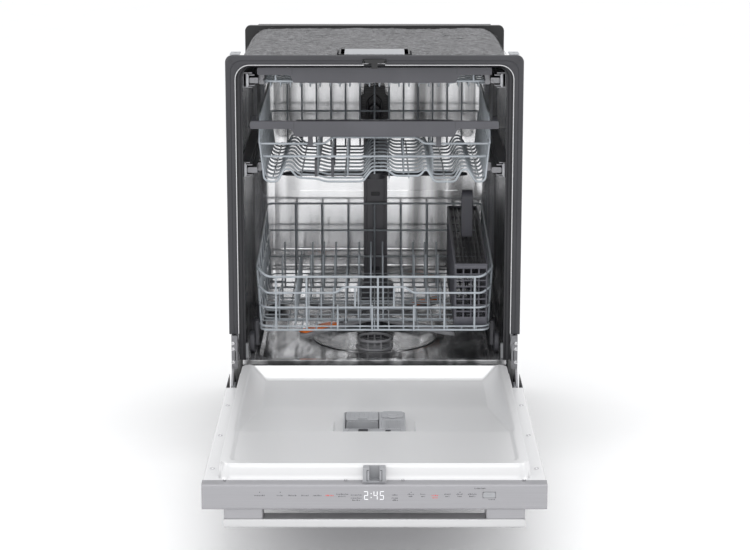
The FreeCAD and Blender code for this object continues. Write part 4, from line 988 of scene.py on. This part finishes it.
def upper_rack():
    half, y0, y1, floor = 230.0, 24.0, 476.0, 594.0
    thick, thin = [], []
    thick.append(ring(644.5, 644.5, half + 3, y0 - 2, y1 + 2))
    thick.append(wire(WIRE, 14, (-half - 4, y0 - 3, 671), (-100, y0 - 3, 671), (-86, y0 - 3, 684),
                      (86, y0 - 3, 684), (100, y0 - 3, 671), (half + 4, y0 - 3, 671),
                      (half + 4, y1 + 3, 671), (-half - 4, y1 + 3, 671), closed=True))
    thick.append(wire(WIRE, 12, (half + 4, y0, 671), (half + 4, y0 + 30, 722), (half + 4, y1, 742),
                      (-half - 4, y1, 742), (-half - 4, y0 + 30, 722), (-half - 4, y0, 671)))
    wave = wavy_floor(half)
    thick += [wire(WIRE - 0.1, 7, *[(x, y, z) for x, z in wave]) for y in spread(y0 + 1, y1 - 4, 11)]
    thin += [wire(TINE, 4, (x, y0, floor + 6), (x, y1, floor + 6))
             for x in (-207, -150, -60, 30, 70, 143, 213)]
    thin += [wire(TINE + 0.2, 4, (x, y, floor + 4), (x, y + 5, floor + 64)) for x in (-117, -55)
             for y in spread(y0 + 40, y1 - 40, 14)]
    thin += [wire(TINE + 0.2, 4, (x, y, floor + 4), (x, y + 4, floor + 50)) for x in (-88, 0, 60, 120)
             for y in spread(y0 + 60, y1 - 60, 6)]
    thick += [wire(WIRE - 0.2, 6, (x, y1 - 14, floor + 3), (x, y1, floor + 4), (x, y1, 742))
              for x in spread(-195, 195, 13)]
    thick += [wire(WIRE, 8, (side * (half + 3), y, 644),
                   (side * (half + 4), y, 724 + 17 * (y - y0) / (y1 - y0)))
              for y in spread(y0 + 50, y1 - 50, 8) for side in (-1, 1)]
    piece("upper_rack_frame", *join(*thick), "coated_wire", "top_rack", nodes=["upper_rack"])
    piece("upper_rack_tines", *join(*thin), "coated_wire", "top_rack")
    rests = []
    rests += [prism("yz", [(y, 596, 2), (y, 632, 5), (y + 9, 636, 3), (y + 14, 596, 2)], x - 3, x + 3)
              for x in (-120, -86) for y in (y0 + 34, y0 + 170, y0 + 300)]
    solid("upper_rack_cup_rests", *join(*rests), "mid_plastic", "top_rack", round_=1.0)
    runners("upper_rack", "top_rack", rect(238.2, 258.8, 611.2, 622.8, 2.5), rect(230, 240, 608.2, 625.8, 3),
            9.5)


def rail_caps():
    """Light end caps on the front of the telescopic rails."""
    for name, body, outer, z in (("upper", "upper_rail_slides", 272.2, 602.0),
                                 ("third", "third_rail_slides", 265.8, 785.0)):
        cap = prism("xz", [(outer - 12.6, z + 6, 2), (outer - 12.6, z + 26, 2), (outer - 10, z + 30, 2),
                           (outer - 7.4, z + 30, 2), (outer - 7.4, z + 3, 2), (outer - 10, z + 2, 2)],
                    10.5, 17.8)
        slotted = prism("xz", rect(outer - 11.8, outer - 8.6, z + 9, z + 22, 1.2), 9.9, 10.8)
        solid(f"{name}_rail_caps", *pair(join(cap, slotted)), "light_plastic", body, round_=0.8)


def upper_handle():
    edge = [(-251.3, 703, 3), (-251.3, 718.8, 4), (251.3, 718.8, 4), (251.3, 703, 3), (168, 703, 8),
            (161, 687.2, 5), (-161, 687.2, 5), (-168, 703, 8)]
    front = prism("xz", edge, 6.2, 15.8)
    lip = prism("xz", [(-158, 690, 3), (-158, 714, 3), (158, 714, 3), (158, 690, 3)], 15.8, 17.4)
    grip = prism("yz", [(6.6, 715, 0), (33.8, 715, 2), (33.8, 718.8, 1.5), (6.6, 718.8, 0)], -158, 158)
    stays = pair(prism("yz", [(14, 705, 0), (60, 712, 2), (60, 721.8, 2), (14, 717.8, 0)], 240.2, 249.8))
    hooks = [prism("yz", [(15, 664.4, 3), (15, 704, 0), (20, 704, 0), (20, 678, 2), (24, 678, 2),
                          (24, 664.4, 3)], x - 5, x + 5) for x in (-130, 130)]
    body = solid("cup_rack_handle", *join(front, grip, stays, lip, *hooks), "mid_plastic", "top_rack",
                 nodes=["upper_rack_handle"], round_=1.4)
    seams = [block(x - 0.4, x + 0.4, 6.0, 6.4, 704, 718) for x in (-163, 163)]
    solid("cup_rack_handle_seams", *join(*seams), "dark_plastic", "top_rack")


def third_rack():
    half, y0, y1, floor = 224.0, 30.0, 478.0, 786.0
    thick, thin = [], []
    thick.append(ring(floor + 11, floor, half, y0, y1))
    thick.append(ring(812, 812, half + 4, y0, y1, WIRE - 0.2))
    thin += [wire(TINE, 7, (x, y0, floor + 8), (x, y0 + 4, floor), (x, y1 - 4, floor), (x, y1, floor + 8))
             for x in spread(-210, 210, 22)]
    for y in spread(y0 + 30, y1 - 30, 14):
        points = [(-half, y, floor + 3)]
        for k in range(16):
            x = -210 + 28 * k
            points.append((x, y, floor + (3 if k % 2 else 9)))
        points.append((half, y, floor + 3))
        thin.append(wire(TINE, 5, *points))
    for x in spread(-200, 200, 9):
        thick.append(wire(WIRE - 0.3, 2, (x, y0, floor + 11), (x, y0, 812)))
        thick.append(wire(WIRE - 0.3, 2, (x, y1, floor), (x, y1, 812)))
    thick += [wire(WIRE - 0.3, 2, (side * half, y, floor), (side * (half + 4), y, 812))
              for y in spread(y0 + 50, y1 - 50, 7) for side in (-1, 1)]
    piece("cutlery_tray_frame", *join(*thick), "coated_wire", "cutlery_tray", nodes=["third_rack"])
    piece("cutlery_tray_mesh", *join(*thin), "coated_wire", "cutlery_tray")
    edge = [(-236.3, 811, 3), (-236.3, 825.8, 3), (236.3, 825.8, 3), (236.3, 811, 3), (170, 811, 6),
            (164, 795.2, 5), (-164, 795.2, 5), (-170, 811, 6)]
    front = prism("xz", edge, 18.2, 26.8)
    grip = prism("yz", [(24, 822, 0), (43.8, 822, 2), (43.8, 825.8, 2), (24, 825.8, 0)], -160, 160)
    solid("tray_handle", *join(front, grip), "mid_plastic", "cutlery_tray", round_=1.3)
    seams = [block(x - 0.4, x + 0.4, 18.0, 18.4, 812, 825) for x in (-166, 166)]
    solid("tray_handle_seams", *join(*seams), "dark_plastic", "cutlery_tray")
    runners("tray", "cutlery_tray", rect(234.2, 252.6, 794.2, 805.8, 2), rect(224, 236, 786.2, 807.8, 3), 7.5)


# ---- spray arms and the tub floor ---------------------------------------------------------------
def blade(centre_y, z0, thick, reach, width, turn, start=14.0):
    """A hollow spray blade: flat below, crowned above, tapering to a round tip."""
    a = math.radians(turn)
    verts, sides = [], 14
    stations = spread(0, 1, 17)
    for t in stations:
        r = start + (reach - start) * t
        taper = 1.0 - 0.25 * t
        tip = math.sqrt(max(0.0, 1 - max(0.0, (t - 0.9) / 0.1) ** 2))
        w = width / 2 * taper * max(tip, 0.12)
        h = thick * (0.72 + 0.28 * max(tip, 0.0))
        for k in range(sides):
            b = 2 * math.pi * k / sides
            u, v = math.cos(b), math.sin(b)
            across = w * math.copysign(abs(u) ** 0.7, u)
            up = h / 2 + h / 2 * math.copysign(abs(v) ** (0.55 if v < 0 else 0.9), v)
            x, y = r * math.cos(a) - across * math.sin(a), r * math.sin(a) + across * math.cos(a)
            verts.append(at(x, centre_y + y, z0 + up))
    return verts, loft_faces(len(stations), sides)


def nozzles(centre_y, z, turns, radii, size=5.0):
    shapes = []
    for turn in turns:
        a = math.radians(turn)
        for r in radii:
            spot = at(r * math.cos(a), centre_y + r * math.sin(a), z)
            shapes.append(ring_lathe([(size * 0.45, -1.2), (size, -1.2), (size, 0.2), (size * 0.8, 0.9),
                                      (size * 0.45, 0.5)], spot, steps=20))
    return shapes


def spray_arms():
    z0 = 239.2
    hub_centre = at(0, ARM_Y, 0)
    turns = (-134, -42, 46, 138)
    arms = [blade(ARM_Y, z0, 10.6, 227.6, 34, t) for t in turns]
    hub = ring_lathe([(17.2, 0), (30, 0), (30, 11), (27, 14.6), (17.2, 14.6)], at(0, ARM_Y, z0))
    cap = ring_lathe([(2, 8), (17.4, 8), (17.4, 14.2), (12, 14.6), (2, 14.6)], at(0, ARM_Y, z0))
    solid("lower_arm_blades", *join(*arms, hub, cap), "arm_plastic", "lower_arm",
         slot="mid_plastic",
         nodes=["lower_spray_arm"], sharp=45)
    holes = nozzles(ARM_Y, z0 + 10.4, turns, (104, 156, 198))
    solid("lower_arm_nozzles", *join(*holes), "mid_plastic", "lower_arm")
    inserts = []
    for turn, near, far in ((-134, 122, 224), (46, 128, 206)):
        insert = prism("xy", rect(near, far, ARM_Y - 11, ARM_Y + 11, 7), z0 + 9.8, z0 + 14.4)
        inserts.append(turned(insert, math.radians(turn), hub_centre))
    solid("lower_arm_inserts", *join(*inserts), "orange_plastic", "lower_arm", slot="mid_plastic",
         round_=0.8)
    teeth = []
    for k in range(24):
        tooth = block(-2.2, 2.2, ARM_Y + 25, ARM_Y + 29.6, z0 + 12.4, z0 + 15.4)
        teeth.append(turned(tooth, math.radians(15 * k), hub_centre))
    rim = ring_lathe([(19, 12.2), (26, 12.2), (26, 15.2), (19, 15.2)], at(0, ARM_Y, z0))
    solid("lower_arm_lock_ring", *join(rim, *teeth), "mid_plastic", "lower_arm", round_=0.3)
    top_y, top_z = 262.0, 563.2
    arms = [blade(top_y, top_z, 7.6, 199.6, 36, t) for t in (0, 180)]
    hub = ring_lathe([(12.8, -4.8), (24, -4.8), (24, 8), (20, 11.6), (12.8, 11.6)], at(0, top_y, top_z))
    solid("upper_arm_blades", *join(*arms, hub), "dark_plastic", "upper_arm",
         nodes=["upper_spray_arm"], sharp=45)
    holes = nozzles(top_y, top_z + 7.6, (0, 180), (70, 110, 150, 182), 4.0)
    solid("upper_arm_nozzles", *join(*holes), "mid_plastic", "upper_arm")


def filter_top():
    """Stamped dish with the filter that turns in its middle."""
    dish_centre, filter_centre = at(0, 279, 0), at(0, FILTER_Y, 0)
    profile = [(40, 188.1), (60, 188.1), (96, 188.3), (100, 188.9), (104, 190.2), (116, 194.4),
               (128, 199.0), (131, 200.6), (134.8, 201.3), (134.8, 200.2), (131.5, 199.6), (116, 192.8),
               (98, 187.8), (40, 187.6)]
    dish = ring_lathe(profile, dish_centre, steps=96)
    pan = solid("strainer_dish", *dish, "floor_steel", "cabinet", nodes=["sump_dish"], sharp=50)
    centre = lathe([(0.1, 187.7), (41, 187.7), (41, 188.1), (0.1, 188.1)], dish_centre, steps=48)
    plate = solid("strainer_plate", *centre, "floor_steel", "cabinet")
    lip = ring_lathe([(132.6, 200.9), (135.6, 200.9), (135.6, 201.5), (132.6, 201.5)], dish_centre,
                     steps=96)
    solid("strainer_lip", *lip, "rail_steel", "cabinet", slot="tub_steel")
    hole = lathe([(39.6, 150), (39.6, 250)], filter_centre, steps=64)
    boolean(pan, [hole])
    boolean(plate, [hole, lathe([(21.2, 150), (21.2, 250)], at(0, ARM_Y, 0), steps=48)])
    rim = ring_lathe([(33.6, 202), (40.8, 202), (40.8, 205.2), (38, 206), (33.6, 206)], filter_centre,
                     steps=64)
    hoop = ring_lathe([(34.4, 219.6), (37.6, 219.4), (37.9, 222), (37.2, 224.6), (35, 225), (34, 222.4)],
                      filter_centre, steps=64)
    grip = prism("yz", [(FILTER_Y - 34, 204, 0), (FILTER_Y - 34, 223.6, 4), (FILTER_Y + 34, 223.6, 4),
                        (FILTER_Y + 34, 204, 0)], -2, 2)
    cup = ring_lathe([(33.6, 113), (35.8, 112.2), (35.8, 203), (33.6, 203)], filter_centre, steps=64)
    base = lathe([(0.1, 112.2), (35.5, 112.2), (35.5, 114.8), (0.1, 114.8)], filter_centre, steps=48)
    body = solid("filter_body", *join(rim, hoop, grip, cup, base), "arm_plastic", "filter",
                 nodes=["filter_cup"], slot="mid_plastic", round_=0.5)
    ribs = []
    for k in range(8):
        a = 2 * math.pi * (k + 0.5) / 8
        ribs.append(tube([at(36 * math.cos(a), FILTER_Y + 36 * math.sin(a), 205),
                          at(36 * math.cos(a), FILTER_Y + 36 * math.sin(a), 221)], 1.9, 1, sides=8))
    for z in (208.5, 212.5):
        ribs.append(ring_lathe([(35.2, z - 0.7), (36.8, z - 0.7), (36.8, z + 0.7), (35.2, z + 0.7)],
                               filter_centre, steps=64))
    piece("filter_ring_posts", *join(*ribs), "arm_plastic", "filter", slot="mid_plastic")


def back_wall_parts():
    """Moulded duct up the back wall and the block that the upper rack docks in."""
    back = TUB_BACK - 3.3
    channel = prism("xz", rect(-24.8, 28.8, 224.2, 645.8, 5), TUB_BACK - 23.8, back)
    foot = prism("xz", rect(-39.8, 43.8, 222.2, 261.8, 8), TUB_BACK - 26.8, back)
    groove = [block(x - 0.7, x + 0.7, TUB_BACK - 25, TUB_BACK - 22.6, 270, 640) for x in (-18, 22)]
    duct = solid("back_duct", *join(channel, foot), "duct_plastic", "cabinet", nodes=["feed_duct"],
                 round_=1.6)
    boolean(duct, groove)
    clips = [prism("xz", rect(-8, 12, z, z + 9, 2), TUB_BACK - 25.4, TUB_BACK - 23.6)
             for z in (296, 470, 620)]
    solid("back_duct_clips", *join(*clips), "dark_plastic", "cabinet", round_=0.5)
    block_edge = [(-31.3, 647.2, 3), (-31.3, 700, 3), (-24, 706, 3), (-24, 723.8, 4), (24, 723.8, 4),
                  (24, 706, 3), (31.3, 700, 3), (31.3, 647.2, 3)]
    dock = solid("dock_block", *prism("xz", block_edge, 512.2, back), "black_plastic", "cabinet",
                 nodes=["upper_dock"], round_=1.2)
    boolean(dock, [lathe([(13, 0), (13, 24)], at(0, 510, 672), "y", 40)])
    arch = wire(2.6, 12, (-15.5, 509.6, 652), (-15.5, 509.6, 690), (0, 509.6, 703), (15.5, 509.6, 690),
                (15.5, 509.6, 652), sides=10)
    ribs = [block(-30, 30, 510.8, 512.4, z, z + 1.6) for z in (708, 713, 718)]
    sides = pair(join(*[block(22, 30, 510.6, 512.4, z, z + 2) for z in spread(654, 694, 8)]))
    solid("dock_arch", *join(arch, *ribs, sides), "dark_plastic", "cabinet")


def hinge_details():
    """Screws and slot marks on the hinge plates; the slot marks are painted shade."""
    heads = []
    for z in (222, 250, 262):
        profile = [(0.8, -0.6), (1.4, -1.5), (3.0, -1.7), (3.8, -0.9), (3.8, 0)]
        heads.append(lathe(profile, at(291, -18, z), "y", 20))
    # painted shade: each slot is a thin black patch laid on the plate, not cut, standing in for the shade
    # inside it
    slot = prism("xz", rect(285, 287.2, 226, 246, 1), -18.5, -17.9)
    solid("hinge_plate_screws", *pair(join(*heads)), "screw_steel", "cabinet", sharp=25)
    solid("hinge_plate_slots", *pair(slot), "black_plastic", "cabinet")


# ---- camera, light and floor ----------------------------------------------------------------------
def stage():
    bpy.ops.mesh.primitive_grid_add(x_subdivisions=40, y_subdivisions=40, size=60)
    floor = bpy.context.object
    floor.name = "studio_floor"
    shade = Shade("studio_floor", (0.985, 0.985, 0.985), 0.0, 0.85)
    grain = shade.pattern(3.0)
    shade.tint(grain, 0.99, 1.01)
    shade.bump((grain, 0.05))
    floor.data.materials.append(shade.mat)

    world = bpy.data.worlds.new("studio")
    bpy.context.scene.world = world
    world.use_nodes = True
    world.node_tree.nodes["Background"].inputs["Color"].default_value = (0.985, 0.99, 1.0, 1)
    world.node_tree.nodes["Background"].inputs["Strength"].default_value = 1.03
    bpy.context.scene.view_settings.view_transform = "Standard"

    def lamp(name, place, target, size, power, color=(1, 1, 1)):
        data = bpy.data.lights.new(name, "AREA")
        data.shape, data.size, data.size_y = "RECTANGLE", size[0], size[1]
        data.energy, data.color = power, color
        obj = bpy.data.objects.new(name, data)
        obj.location = Vector(place)
        obj.rotation_euler = (Vector(target) - Vector(place)).to_track_quat("-Z", "Y").to_euler()
        bpy.context.scene.collection.objects.link(obj)

    lamp("top_soft", (0, -0.9, 3.0), (0, 0.0, 0.4), (2.6, 2.0), 18)
    lamp("left_strip", (-2.2, -2.0, 1.8), (0, 0.1, 0.5), (0.7, 1.8), 14)
    lamp("right_strip", (2.2, -1.8, 1.6), (0, 0.1, 0.5), (0.7, 1.8), 11)
    lamp("front_low", (0, -3.6, 1.2), (0, 0.3, 0.5), (1.6, 0.8), 6)

    eye = bpy.data.cameras.new("eye")
    eye.sensor_width, eye.lens, eye.clip_end = 36.0, 100.9, 40
    camera = bpy.data.objects.new("camera", eye)
    camera.location = (0.001, FRONT - 4.198, 1.353)
    camera.rotation_euler = (math.radians(90 - 12.76), 0, 0)
    bpy.context.scene.collection.objects.link(camera)
    bpy.context.scene.camera = camera


for make in (trim, gasket, felt_blanket, door_inner, dispenser, latch, screws, control_face, button,
             handle, lower_rack, wheels, tine_row, basket, upper_rack, rail_caps, upper_handle, third_rack,
             spray_arms, filter_top, back_wall_parts, hinge_details, stage):
    make()
